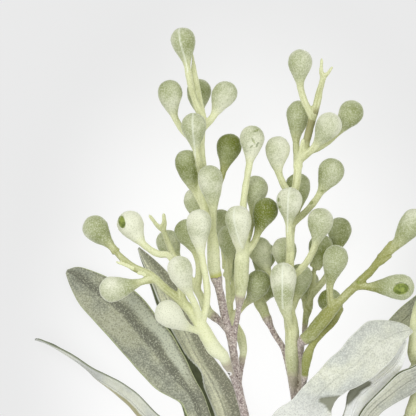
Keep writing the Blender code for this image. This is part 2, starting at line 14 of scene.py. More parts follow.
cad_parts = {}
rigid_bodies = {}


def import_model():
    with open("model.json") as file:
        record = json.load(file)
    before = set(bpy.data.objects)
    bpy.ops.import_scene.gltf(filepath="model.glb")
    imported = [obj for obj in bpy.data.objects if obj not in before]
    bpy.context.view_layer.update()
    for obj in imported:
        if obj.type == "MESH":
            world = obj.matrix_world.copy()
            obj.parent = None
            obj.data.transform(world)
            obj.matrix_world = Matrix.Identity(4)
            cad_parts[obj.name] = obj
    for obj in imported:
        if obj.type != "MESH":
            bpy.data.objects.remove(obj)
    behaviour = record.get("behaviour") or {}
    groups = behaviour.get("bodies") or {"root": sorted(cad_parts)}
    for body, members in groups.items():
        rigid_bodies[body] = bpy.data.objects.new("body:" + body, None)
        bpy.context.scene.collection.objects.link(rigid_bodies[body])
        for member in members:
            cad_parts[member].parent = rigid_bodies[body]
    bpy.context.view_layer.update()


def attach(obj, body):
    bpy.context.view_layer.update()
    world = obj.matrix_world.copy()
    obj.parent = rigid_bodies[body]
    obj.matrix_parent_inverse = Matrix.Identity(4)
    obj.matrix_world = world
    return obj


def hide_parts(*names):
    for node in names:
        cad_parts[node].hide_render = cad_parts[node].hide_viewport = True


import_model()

bl_info = {
    "name": "Wattle Bundle",
    "version": (1, 0, 0),
    "blender": (4, 5, 0),
    "location": "View3D > Sidebar > Bundle",
    "description": "Makes a tied bundle of flocked wattle: stems, sprigs of pods, leaves and twine",
    "category": "Add Mesh",
}

# Routes and sizes of the part's source are in millimetres, from a point under the stems.
# settle() brings a finished mesh to its place in the frame, in metres.
MM = 0.001
BOX_MIDDLE = Vector((4.68, -0.39, 0.0))
UP = Vector((0, 0, 1))
HEADWARD = Vector((0, 1, 0))

# The picture that the shapes are matched to, and the camera that takes it from straight above
PICTURE_MIDDLE = (208.0, 208.0)
CAMERA_PLACE = (-15.96, 93.29, 1030.0)
CAMERA_LENS = 227.7
SENSOR_WIDTH = 36.0
PIXELS_PER_SLOPE = 2631.2
MM_A_PIXEL = 0.38

# Heights: over everything, of the plan as a whole, and roughly of the leaves
OVER_ALL = 80.0
PLAN_HEIGHT = 30.0
LEAF_HEIGHT = 15.0

# What the sprigs, the twigs' ends and the leaves' stalks share
AXIS_RADIUS = 1.9
PETIOLE_RADIUS = 0.9
SEAT_GAP = 0.35
AXIS_SHARE = 0.85
AXIS_TAPER = 0.45
SOCKET_ENTRY = 7.0
MOUTH_SINK = 0.7
MOUTH_LIP = 0.3
MOUTH_DEPTH = 0.5
SWELL_LENGTH = 5.0
TIP_LENGTH = 12.0
WAVER = 0.05
ROUTE_STEP = 1.0

# What a blade's outline formula is divided by, and how blades are divided and dented
OUTLINE_DIVISOR = 0.5198
ROW_SPACING = 0.8
BULGE_REACH = 0.06
TUCK_DEPTH = 1.0

# How pale or green a pod is: partly its flock's own colour and partly painted shade, deeper for pods
# that lie behind or under others
FROSTED = 0.0
PALE = 0.2
SAGE = 0.42
GREEN = 0.62
DEEP = 0.8
OLIVE = 1.0


class Twig(NamedTuple):
    """A side twig: the stem's level that it leaves, its route and its radius."""
    level: float
    route: tuple
    radius: float


class Stem(NamedTuple):
    """A brown stem from its cut foot to the twig end that carries the sprig named first.

    Its scars are places of the picture. Its branch is the radius it thins to, and the levels
    between which it thins.
    """
    name: str
    sprig: str
    route: tuple
    twigs: dict
    scars: tuple = ()
    branch: tuple = (1.62, -6.0, 18.0)


class Pod(NamedTuple):
    """A pod: its middle, its lean right of +Y, its pedicel's level, its tone and girth.

    A seam lies so many degrees from its top. The taper is its neck's length in pod radii, and
    via holds points that its pedicel passes.
    """
    middle: tuple
    lean: float
    level: float
    tone: float = SAGE
    girth: float = 1.0
    seam: float = None
    taper: float = 2.2
    via: tuple = ()


class Spur(NamedTuple):
    """A bare spur: its end, the level where it leaves the axis, and its radius."""
    end: tuple
    level: float
    radius: float = 1.1


class Tear(NamedTuple):
    """A tear in the flock: its place in the picture, half sizes in mm, turn, depth, glow."""
    place: tuple
    size: tuple
    turn: float
    depth: float
    glow: float = 0.0


class Sprig(NamedTuple):
    """A green sprig: its socket, axis, pods, bare spurs and tears, and its shaft's tone.

    The socket's mouth is a share of its radius, and the socket narrows to the axis between two
    shares of its length. The fade is how far its colour reaches down the brown twig. The axis
    thins to a share of its radius at its tip, its tone may change to far_tone past the socket,
    and a darker brownish band on it lies between two levels.
    """
    name: str
    socket_radius: float
    socket_length: float
    axis: tuple
    pods: tuple
    spurs: tuple = ()
    tears: tuple = ()
    tone: float = 0.3
    ragged: float = 0.12
    mouth: float = 0.7
    narrowing: tuple = (0.65, 1.15)
    fade: float = 2.0
    tip: float = 0.8
    far_tone: float = None
    stain: tuple = (0.0, 0.0)


class Leaf(NamedTuple):
    """A leaf: its stem, the level and side of its seat, its route, half width and looks.

    The fold is how far its halves slope down. The margin is the share of its left half that is
    turned down at its base, and none is at margin_end; a bulge adds more of it round one share
    of its length. Its edges are places of the picture, from base to tip. A tuck is a sunk hollow
    painted in shade along a line between two places of the picture, with its reach in pixels.
    """
    name: str
    stem: str
    level: float
    side: tuple
    route: tuple
    half_width: float
    roll: float
    fold: float
    petiole: float
    cloth: str = "sage"
    ripple: float = 0.35
    margin: float = 0.0
    edges: tuple = ()
    margin_end: float = 1.6
    tucks: tuple = ()
    bulge: tuple = (0.0, 0.0)


class Cloth(NamedTuple):
    """A leaf's cloth: its colour's name, the spread of its mottle, streaks, specks and rim."""
    colour: str
    spread: float
    streaked: float
    speckle: float
    rim: str = "pale rim"


STEMS = (
    Stem("stem_left", "sprig_tall_left",
         ((4.0, -162.5, 3.5), (5.25, -120, 5.5), (5.25, -94, 5.6), (4.4, -56, 11.5),
          (2.0, -25, 15.5), (0.0, 1.3, 18.5), (-1.9, 14.3, 20), (-3.4, 20.3, 20.6),
          (-4.8, 27.9, 21.3), (-5.8, 35.5, 21.9), (-7.2, 43.1, 22.5), (-9.3, 50.7, 23.2),
          (-10.8, 58.3, 24), (-12.9, 67.3, 25)),
         {"sprig_upright": Twig(38, ((-5.6, 46.9, 23.8), (-4.7, 51.5, 24.8), (-3.7, 59.7, 26)),
                                1.1),
          "sprig_leaning_left": Twig(21, ((-6.8, 29.6, 26), (-9.1, 34.6, 29)), 1.3),
          "sprig_behind_fork": Twig(24, ((-3.2, 31.0, 17.6), (-2.7, 35.3, 15.8)), 0.9),
          "sprig_low_left": Twig(46, ((-11.6, 49.9, 21), (-13.9, 51.8, 19.2)), 1.2)},
         ((229, 374),)),
    Stem("stem_middle", "sprig_middle",
         ((12.6, -162.5, 3.3), (10.75, -120, 5.5), (10.75, -94, 5.6), (12.4, -56, 11),
          (15.2, -25, 16), (17.5, 1.3, 18.8), (17.9, 14.3, 20.2), (17.1, 21.1, 21.2),
          (16.5, 29.8, 23.5)),
         {"sprig_inner_back": Twig(20, ((13.3, 38.6, 17.5), (9.5, 45, 15.8), (6.6, 51.2, 14.6)),
                                   1.2),
          "sprig_right_back": Twig(18, ((19.4, 32, 18.6), (21.4, 48.4, 17.2)), 0.8),
          "sprig_leaning_right": Twig(14, ((19.6, 24, 22.6), (19.9, 30, 24.6), (19.2, 37, 26.3),
                                           (19.2, 41.6, 28.8), (21.0, 43.6, 30.2)), 0.95),
          "sprig_under_right": Twig(11, ((19.2, 18, 23.5), (20.3, 24, 27.8), (20.8, 30, 31)),
                                    0.95)},
         (), (1.3, 8.0, 23.0)),
    Stem("stem_right", "sprig_far_upper",
         ((8.4, -162.5, 9.4), (8, -120, 10.1), (8, -94, 10.3), (11.5, -75, 14.2),
          (17.5, -56, 16.5), (25, -25, 18.5), (36, 1.3, 19.5), (45.5, 13, 20.5), (53.5, 22.3, 21.5),
          (58.3, 26.6, 22), (61.6, 30.6, 22.5)),
         {"sprig_far_low": Twig(15, ((56, 21.0, 18.8), (62.0, 25.5, 17.4)), 1.3),
          "sprig_far_front": Twig(6, ((49.5, 9.6, 20.6), (57, 11.5, 20.5)), 1.3)}),
)

SPRIGS = (
    Sprig("sprig_tall_left", 2.5, 15,
          ((-14.4, 84.2, 27), (-17.2, 94.4, 27.5), (-18.1, 108.5, 28), (-18.8, 118.4, 28),
           (-18.2, 126.7, 28), (-19.4, 134.3, 27.5), (-21.1, 143.8, 27), (-21.9, 153.3, 26.5)),
          (Pod((-25.5, 157.1, 31), -11, 128, SAGE, 1.0, -14),
           Pod((-30.4, 137.4, 27), -3, 117, SAGE),
           Pod((-19.4, 138.1, 19.5), 5, 126, GREEN),
           Pod((-9.5, 137, 27.5), 32, 124, PALE),
           Pod((-21.3, 124.5, 35), -3, 107, SAGE, 1.0, -6),
           Pod((-23.9, 110.8, 26), -10, 92, DEEP, taper=2.9),
           Pod((-15.2, 104.7, 35.5), -8, 84, 0.36, taper=3.0),
           Pod((-7.8, 117.1, 21), 13, 94, OLIVE, 1.02),
           Pod((-20.6, 96.3, 19), -8, 83, SAGE)),
          ragged=0.55, tone=0.3, mouth=0.94, fade=0.2, tip=0.2),
    Sprig("sprig_upright", 2.9, 22,
          ((-3.2, 69.7, 28), (-2.7, 77.3, 29), (-1.5, 84, 29.5)),
          (Pod((-4.6, 89.5, 35.5), -10, 75, 0.09, 1.04, -20, 3.2),
           Pod((0.8, 119.9, 31), 3, 82, PALE),
           Pod((2.3, 100.9, 23), 5, 76, SAGE),
           Pod((6.1, 92.5, 28.5), 25, 75, DEEP)),
          tears=(Tear((256, 131), (1.1, 0.45), 25, 0.15), Tear((253, 141), (0.4, 1.3), 30, 0.1),
                 Tear((257, 145), (0.4, 1.2), -25, 0.1), Tear((251, 147), (0.3, 0.8), -50, 0.1)),
          tone=0.26, fade=3.0),
    Sprig("sprig_behind_fork", 1.85, 12,
          ((-3.9, 45.5, 13.5), (-6.7, 50.7, 12.8), (-7.7, 58.3, 12), (-8.4, 65.9, 11),
           (-9.0, 72, 10.5)),
          (Pod((-7.6, 82, 14.5), 4, 67, SAGE), Pod((-10.8, 88, 7.5), -6, 70, SAGE),
           Pod((-4.6, 72.8, 6.5), 20, 58, GREEN), Pod((3.4, 64.8, 21), 12, 50, GREEN)),
          tone=0.32, fade=3.0),
    Sprig("sprig_leaning_left", 2.9, 14,
          ((-13.3, 39.6, 30.8), (-20.9, 52.3, 32), (-26.6, 58.3, 32.5), (-32.3, 62.9, 32),
           (-37.2, 67.5, 31.5), (-45.6, 71.6, 30.3), (-52.4, 78.1, 29)),
          (Pod((-58.9, 85.7, 28), -38, 76.5, 0.36, 1.04),
           Pod((-52.4, 62.5, 34), -98, 66.5, PALE, 1.03, taper=2.6),
           Pod((-45.6, 87.5, 29), -29, 57, -0.02, 1.06,
               via=((-27.4, 68, 34.5), (-30.6, 75.3, 34), (-34.8, 75.8, 33), (-40.3, 79.4, 31))),
           Pod((-26.6, 70.5, 40), -13, 50, FROSTED, taper=2.6),
           Pod((-31.2, 53.8, 40), -50, 46, 0.05, 1.05, taper=2.6),
           Pod((-19.4, 88, 38), 2, 49, 0.12, taper=2.9)),
          (Spur((-51.2, 73.0, 31.5), 70, 0.8), Spur((-43.2, 68.6, 33.4), 68.4, 0.8)),
          (Tear((122, 222), (1.4, 2.5), 12, 0.8, 0.35),),
          tone=0.02, narrowing=(0.5, 2.6), fade=6.0, far_tone=0.6),
    Sprig("sprig_low_left", 2.0, 9,
          ((-18.2, 58.3, 15.5), (-24.3, 67.8, 12), (-28.9, 74.3, 11.5), (-31.9, 81.1, 13),
           (-33.6, 86.8, 14.5)),
          (Pod((-31.5, 80, 4.55), -15, 69, SAGE), Pod((-24.3, 84.2, 8.5), -25, 62, GREEN)),
          (Spur((-38.8, 90.6, 16), 85), Spur((-33.0, 91.4, 15.5), 86)),
          tone=0.35, mouth=0.9, ragged=0.3),
    Sprig("sprig_middle", 2.75, 20,
          ((16, 46.9, 27), (14.4, 58.3, 28), (15.2, 72.8, 28.5), (15.4, 86.9, 28.5),
           (15.6, 94.4, 28.5), (17.6, 102, 28.5), (18.7, 111.5, 28.5), (21.1, 117.2, 28),
           (23.6, 126.7, 27.5), (25.1, 131.3, 27.5), (26.6, 138.1, 27.5), (28.3, 144, 27.5)),
          (Pod((12.5, 67.8, 36), 0, 46, PALE, 1.04, -6, 4.3),
           Pod((14.8, 96.3, 36), 3, 77, PALE, 1.04, -8),
           Pod((10.6, 115.9, 28), 5, 97, 0.26), Pod((31.0, 107.5, 30), 25, 87, 0.48, 1.05),
           Pod((18.6, 102, 20), -8, 85, GREEN), Pod((18.9, 129.7, 21.5), 10, 109, GREEN, taper=2.6),
           Pod((19.1, 149.0, 29), 3, 128, PALE, 0.98, taper=2.1),
           Pod((30, 124.8, 33), 35, 112, 0.12, 1.03),
           Pod((38.8, 129.8, 25), 33, 114, SAGE), Pod((26.6, 88.6, 34), 8, 66, 0.2, 1.04),
           Pod((13.3, 77.3, 21.3), -5, 60, SAGE), Pod((19.4, 67.1, 20.5), 5, 53, GREEN),
           Pod((3.8, 77.3, 17.5), -22, 56, SAGE)),
          (Spur((27.3, 150.4, 28), 143, 0.95), Spur((31.6, 147.2, 28), 143.5, 0.85),
           Spur((20.2, 119.6, 31.0), 114)),
          (Tear((278, 200), (0.4, 0.9), 0, 0.25), Tear((279, 207), (0.4, 0.5), 0, 0.25),
           Tear((322, 191), (0.7, 0.6), 0, 0.1), Tear((311, 203), (0.9, 0.6), 40, 0.1)),
          tone=0.45, mouth=0.8, narrowing=(0.9, 1.6), fade=8.0, stain=(118.0, 131.0)),
    Sprig("sprig_inner_back", 2.5, 9,
          ((3.0, 59.5, 12), (2.6, 67, 10)),
          (Pod((6, 75, 6.4), 20, 66, GREEN), Pod((8.5, 63.4, 6.2), 50, 56, GREEN)),
          tone=0.5, mouth=0.75),
    Sprig("sprig_right_back", 1.7, 9,
          ((23.2, 56.4, 15), (24.7, 65.9, 12.5), (25.5, 71.6, 11.5)),
          (Pod((27.7, 78.4, 11.5), 12, 70, DEEP), Pod((35.3, 84.9, 4.55), 8, 60, GREEN),
           Pod((22.6, 64.5, 6.3), -5, 54, GREEN)),
          tears=(Tear((308, 286), (0.8, 1.3), 0, 0.3),),
          tone=0.66),
    Sprig("sprig_leaning_right", 2.75, 14,
          ((25.8, 48.8, 31.8), (32.3, 56.4, 33.5), (36.1, 60.2, 34.5), (41, 65.2, 35.5),
           (46.4, 70.5, 36), (50.6, 77.0, 36), (53.4, 80.8, 36)),
          (Pod((61.9, 88.3, 36), 42, 74, 0.5, taper=3.2),
           Pod((57.2, 63.4, 36.5), 94, 64, 0.5, 1.04, taper=3.0),
           Pod((32.2, 74.6, 38), 14, 55, 0.5, taper=2.6)),
          (Spur((53.4, 75.4, 38), 72, 1.0),),
          (Tear((399, 288), (3.1, 2.2), 8, 0.8, 0.1), Tear((357.5, 282), (0.7, 0.7), 0, 0.3)),
          tone=0.84, mouth=0.88, narrowing=(0.8, 1.5), fade=0.5, tip=0.45),
    Sprig("sprig_under_right", 1.95, 10,
          ((21.9, 37.4, 31.6), (24.4, 42.6, 30.2), (27.6, 45.8, 28), (32.2, 50, 26),
           (35.3, 55.3, 24.5)),
          (Pod((30.8, 57.6, 22), -22, 45, DEEP),),
          tone=1.0, mouth=0.7, fade=1.5),
    Sprig("sprig_far_upper", 2.3, 12,
          ((62.6, 37.5, 23.4), (62.6, 45, 24), (63.2, 53, 26), (68, 66, 27)),
          (Pod((74.5, 77, 27), 20, 64, SAGE), Pod((82, 66.5, 29), 52, 54, PALE),
           Pod((71, 61.5, 35), 24, 47, PALE, 1.0, 0), Pod((75.5, 55, 19.5), 60, 46, GREEN)),
          tone=0.5, far_tone=0.05),
    Sprig("sprig_far_low", 2.0, 9,
          ((68, 31, 16), (74, 38, 14), (79, 44, 13)),
          (Pod((86.5, 49.5, 12), 50, 42, SAGE), Pod((85, 37, 15.5), 85, 36, SAGE),
           Pod((70, 44.5, 8), 15, 34, GREEN)),
          tone=0.5),
    Sprig("sprig_far_front", 2.2, 10,
          ((61.6, 14.4, 20.8), (63.2, 21, 21), (66.5, 27, 20.5), (71.5, 31, 19.5)),
          (Pod((81, 30, 22), 92, 30, PALE), Pod((73.5, 20.5, 24), 120, 23, SAGE),
           Pod((77, 20, 14.5), 100, 18, GREEN)),
          tone=0.4),
)

LEAVES = (
    Leaf("leaf_broad_left", "stem_left", -3, (-1, 0.1),
         ((-7, 3.5, 18.4), (-13.5, 9, 18), (-19, 14.3, 17.5), (-30.4, 27.9, 15.5),
          (-38.8, 41.2, 13), (-49.4, 52.6, 9.5), (-57, 59.5, 7), (-69.5, 69.7, 3.5)),
         8.4, 0.0, 6.0, 14.0, "sage",
         margin=0.75, margin_end=0.29,
         edges=(((222, 442), (206, 435), (194, 428), (186, 419.5), (183.5, 411), (180.2, 402.8),
                 (170, 397), (160, 391.5), (150, 383), (135, 367),
                 (120, 350), (105, 333), (93, 320), (80, 305), (70, 286), (66, 273)),
                ((230, 440), (216, 426), (211, 416), (207.5, 406.2), (202.6, 392.7), (196.7, 382.6),
                 (191.7, 372.5), (185, 358.2), (177, 343.9), (168, 329), (154, 313),
                 (142, 298), (130, 288), (107, 277), (90, 270), (77, 267), (67, 270)))),
    Leaf("leaf_folded_left", "stem_left", -15, (-0.6, -0.8),
         ((-1.5, -5, 12.5), (-4, 0, 12), (-9.1, 14.3, 11), (-15.2, 27.9, 10), (-25.5, 46.9, 8),
          (-37.2, 69.7, 4.5), (-42.2, 78.1, 3.2)),
         5.6, 0.0, 14.0, 9.0, "folded", 0.2, 0.55, bulge=(0.38, 0.36),
         edges=(((219, 448), (207, 414), (200, 396), (194, 381), (188, 370), (182, 358), (174, 343),
                 (166, 328), (157, 306), (149, 282), (142, 262), (138, 249)),
                ((229, 447), (243, 416), (240, 400), (232, 384), (222, 369), (213, 357), (206, 344),
                 (200, 329), (190, 305), (175, 281), (157, 262), (139, 247)))),
    Leaf("leaf_edgewise_left", "stem_left", -28, (-1, -0.3),
         ((-7, -18, 14.5), (-13.3, -11, 13.5), (-26.6, 1.8, 12), (-39.5, 13.8, 10.5),
          (-53.2, 25.8, 8.5), (-72.2, 38.6, 6), (-81.7, 43.5, 5)),
         6.2, -40.0, 6.0, 9.0, "edgewise", margin=0.14, margin_end=0.75,
         edges=(((228, 497), (205, 478), (180, 458), (155, 437), (134, 415), (127, 407), (114, 396),
                 (101, 386), (92, 377.5), (88, 371.8), (76, 362.3), (60, 351.6), (45, 343.5),
                 (35, 339.6)),
                ((233, 494), (215, 470), (195, 449), (175, 430), (156, 415), (145, 403.8), (134, 393.7),
                 (118, 383.6), (105, 377), (91, 369.5), (76, 359.3), (60, 349.6), (45, 342),
                 (36, 338.6)))),
    Leaf("leaf_pale_right", "stem_middle", -19, (0.1, 1),
         ((16.6, -10, 22.5), (18.2, 0, 26), (20.6, 12, 30), (24.6, 19.6, 32.5),
          (30.4, 26, 34.5), (36.1, 31, 35.5), (42.6, 36.3, 36), (49.4, 40.9, 35),
          (56.2, 45, 33), (61.6, 46.9, 31)),
         8.8, 0.0, 6.0, 9.0, "pale",
         edges=(((291, 478), (272, 446), (266, 428), (276, 412), (291, 401), (300, 391), (310, 380),
                 (320, 370), (330, 358), (340, 350), (350, 338), (360, 328), (367, 322), (376, 320),
                 (392, 321), (404, 324), (412, 330)),
                ((296, 478), (322, 446), (333, 426), (331, 412), (334, 404), (338, 398), (343, 394.5),
                 (348, 391), (357, 387), (366, 382), (375, 376), (383, 369), (390, 363), (396, 355),
                 (401, 346), (407, 338), (413, 332))),
         tucks=(((322, 400.5), (338, 398.5), 4.0), ((328, 402), (332, 408), 5.5))),
    Leaf("leaf_dark_right", "stem_right", -1, (0.6, -0.8),
         ((41.5, 11, 14), (46, 24, 13.5), (50, 35, 13), (56.5, 46.5, 12), (67, 56.4, 10),
          (79, 67, 7.5)),
         4.5, 8.0, 6.0, 9.0, "dark"),
    Leaf("leaf_grey_right", "stem_right", -22, (-0.2, 1),
         ((29, -10, 24), (33.5, 2, 25), (38, 12, 25.8), (44, 22, 27), (52, 31.5, 28),
          (58.5, 41.5, 28.5)),
         4.8, 0.0, 10.0, 9.0, "silver", margin=0.34, margin_end=0.6,
         edges=(((322, 462), (334, 436), (343, 416), (346.6, 404), (348, 394.5), (355, 387),
                 (368, 379), (380, 370), (390, 362), (397, 353), (402, 344), (405, 340)),
                ((326, 462), (350, 438), (360, 414), (366, 405), (380, 391), (390, 380), (399, 371),
                 (403, 364), (405, 357), (407, 350), (407, 344), (406, 340))),
         tucks=(((346, 400), (355, 391.5), 6.5), ((353, 391.5), (368, 383.5), 4.0))),
    Leaf("leaf_slim_right", "stem_right", -6, (0.9, 0.5),
         ((40.4, 1.3, 24.6), (43.8, 7.8, 28), (48.6, 15.6, 31), (55.1, 22.8, 32.3),
          (60.8, 27.2, 32.3), (68.4, 32, 31), (80, 38, 27.5)),
         4.2, 0.0, 10.0, 9.0, "grey", margin=0.3,
         edges=(((352, 462), (353, 446), (355, 430), (358, 417), (366, 405), (380, 391), (390, 380.5),
                 (400, 372), (411, 367.5), (427, 360), (445, 353), (459, 350)),
                ((354, 464), (361, 450), (368, 436), (374, 422), (382, 412.5), (392, 405.5),
                 (402, 400), (411, 395), (427, 384), (446, 368), (460, 353)))),
    Leaf("leaf_low_left", "stem_left", -45, (-1, -0.2),
         ((-14, -35, 11.5), (-32, -24, 9), (-52, -12, 6), (-70, -4, 3)),
         7.0, -6.0, 10.0, 9.0, "sage"),
    Leaf("leaf_low_right", "stem_right", -44, (1, -0.1),
         ((36, -37, 15), (54, -28, 11), (72, -20, 7), (86, -14, 3.2)),
         6.5, 8.0, 10.0, 9.0, "grey"),
    Leaf("leaf_over_stems", "stem_left", -52, (-0.1, 1),
         ((3, -40, 20), (4, -24, 25), (6, -8, 27), (8, 8, 27)),
         6.2, 6.0, 10.0, 9.0, "sage"),
    Leaf("leaf_foot_left", "stem_left", -66, (-1, 0.3),
         ((-12, -58, 14), (-30, -51, 13), (-48, -48, 9.5), (-62, -49, 4)),
         6.0, -8.0, 10.0, 9.0, "pale"),
    Leaf("leaf_foot_right", "stem_right", -62, (1, 0.2),
         ((30, -57, 17.5), (46, -55, 14.5), (62, -49, 8.5), (74, -43, 3.5)),
         5.6, 10.0, 10.0, 9.0, "sage"),
)

CLOTHS = {
    "sage": Cloth("leaf", 0.50, 0.3, 0.6, "green rim"),
    "grey": Cloth("leaf_grey", 0.38, 1.1, 0.4),
    "folded": Cloth("leaf_folded", 0.45, 1.1, 0.45),
    "pale": Cloth("leaf_pale", 0.36, 0.15, 0.45),
    "edgewise": Cloth("leaf_pale", 0.25, 0.3, 0.3, "dark rim"),
    # The silver cloth is a lighter copy of the pale cloth: painted light on a leaf that lies in another
    # leaf's shade
    "silver": Cloth("leaf_silver", 0.22, 0.8, 0.4),
    "dark": Cloth("leaf_dark", 0.45, 0.3, 0.5, "green rim"),
}

TIE_LEVEL = -107
TIE_MIDDLE = (8.0, 7.0)
TIE_INNER_RADIUS = 6.05
TWINE_TURNS = 6
TWINE_STRANDS = 3
TURN_STEPS = 48
TWINE_WIDTH = 1.6
TWINE_STANDOFF = 0.72
TWINE_PITCH = 3.2
TWINE_LOWEST = 0.75

# Colours of small marks and lines
BROWNISH_OLIVE = (0.27, 0.25, 0.10)
SEAM_LINE = (0.86, 0.89, 0.74)
BARE_RIM = (0.50, 0.51, 0.10)
SCAR_RING = (0.82, 0.80, 0.76)
# Painted shade inside a scar's hollow
SCAR_HOLLOW_SHADE = (0.02, 0.015, 0.012)
STEM_CORE = ((0.30, 0.26, 0.17), (0.52, 0.46, 0.32))
# Painted light on a pale leaf's base
PALE_BASE = (0.77, 0.78, 0.73)
CREAM = (0.84, 0.85, 0.70)
PALE_TIP = (0.50, 0.51, 0.45)
LEAF_SPECK = (0.78, 0.79, 0.70)
PALE_LINE = (0.86, 0.88, 0.80)
EDGE_SHADE = (0.26, 0.28, 0.20)
EDGE_OLIVE = (0.36, 0.33, 0.13)
# Painted shade in a leaf's tucks
TUCK_SHADE = (0.24, 0.245, 0.17)
DARK_RIM = (0.20, 0.22, 0.15)
DRY_FIBRE = (0.62, 0.50, 0.31)

# The point of the floor, in metres, that is lit most
GLOW_MIDDLE = (-0.006, 0.040, 0.0)


# Sizes and colours that a user would change

class BundleSizes(PropertyGroup):
    """The bundle's sizes and how finely its pieces are made."""
    stem_radius: FloatProperty(
        name="Stem radius", description="Radius of a brown stem", default=0.0025, unit="LENGTH")
    pod_radius: FloatProperty(
        name="Pod radius", description="Radius of a pod's round end", default=0.0048,
        unit="LENGTH")
    pedicel_radius: FloatProperty(
        name="Pedicel radius", description="Radius of the stalk of a pod", default=0.00135,
        unit="LENGTH")
    leaf_thickness: FloatProperty(
        name="Leaf thickness", description="Thickness of a leaf's cloth", default=0.00055,
        unit="LENGTH")
    twine_radius: FloatProperty(
        name="Twine radius", description="Radius of the twine of the tie", default=0.0008,
        unit="LENGTH")
    grain: FloatProperty(
        name="Mesh grain", description="Size of the small faces of stems and sprigs",
        default=0.00042, unit="LENGTH")
    leaf_columns: IntProperty(
        name="Leaf columns", description="Faces across a leaf", default=28)


def colour_property(name, description, colour):
    return FloatVectorProperty(name=name, description=description, default=colour,
                               subtype="COLOR", size=3, min=0.0, max=1.0)


class BundleColours(PropertyGroup):
    """The bundle's colours."""
    frost: colour_property("Frosted flock", "Palest flock of the pods", (0.82, 0.83, 0.65))
    sage: colour_property("Sage flock", "Flock of most pods", (0.43, 0.465, 0.265))
    olive: colour_property("Olive flock", "Flock of the deepest pods", (0.16, 0.19, 0.03))
    shaft: colour_property("Shaft", "Pale pedicels and axes", (0.80, 0.82, 0.51))
    deep_shaft: colour_property("Deep shaft", "Olive pedicels and axes", (0.30, 0.31, 0.092))
    torn: colour_property("Torn flock", "Plastic bared where the flock is torn",
                          (0.13, 0.17, 0.035))
    lime: colour_property("Lime plastic", "Fresh plastic in open tears and socket mouths",
                          (0.32, 0.39, 0.09))
    bark: colour_property("Bark", "Flock of the stems", (0.36, 0.29, 0.265))
    bark_light: colour_property("Bark speckle", "Pale specks of the stems", (0.75, 0.68, 0.62))
    bark_dark: colour_property("Bark shade", "Dark specks of the stems", (0.13, 0.09, 0.088))
    collar: colour_property("Twig collar", "Tan flock of a twig just below a socket",
                            (0.50, 0.46, 0.33))
    leaf: colour_property("Leaf", "Grey-sage face of a leaf", (0.33, 0.335, 0.25))
    leaf_folded: colour_property("Folded leaf", "Lighter half of the folded leaf",
                                 (0.56, 0.56, 0.42))
    leaf_grey: colour_property("Grey leaf", "Face of a grey leaf", (0.455, 0.46, 0.385))
    leaf_pale: colour_property("Pale leaf", "Face of a pale leaf", (0.61, 0.62, 0.54))
    # A lighter copy of the pale cloth, as painted light on a leaf in another's shade; also the pale
    # rims' colour
    leaf_silver: colour_property("Silver leaf", "Face of the palest leaf", (0.97, 0.97, 0.89))
    leaf_dark: colour_property("Dark leaf", "Face of a dark leaf", (0.43, 0.435, 0.32))
    leaf_under: colour_property("Leaf underside", "Dark underside of a leaf",
                                (0.080, 0.092, 0.040))
    leaf_edge: colour_property("Leaf edge", "Line along a leaf's edge", (0.52, 0.58, 0.30))
    twine: colour_property("Twine", "Jute of the tie", (0.50, 0.37, 0.21))
    floor: colour_property("Floor", "Plain pale floor", (1.0, 1.0, 1.0))


# Shader maths

class Value:
    """A node's output, on which Python's operators build Math nodes."""

    def __init__(self, shading, socket):
        self.shading = shading
        self.socket = socket

    def __add__(self, other):
        return self.shading.math("ADD", self, other)

    __radd__ = __add__

    def __sub__(self, other):
        return self.shading.math("SUBTRACT", self, other)

    def __rsub__(self, other):
        return self.shading.math("SUBTRACT", other, self)

    def __mul__(self, other):
        return self.shading.math("MULTIPLY", self, other)

    __rmul__ = __mul__


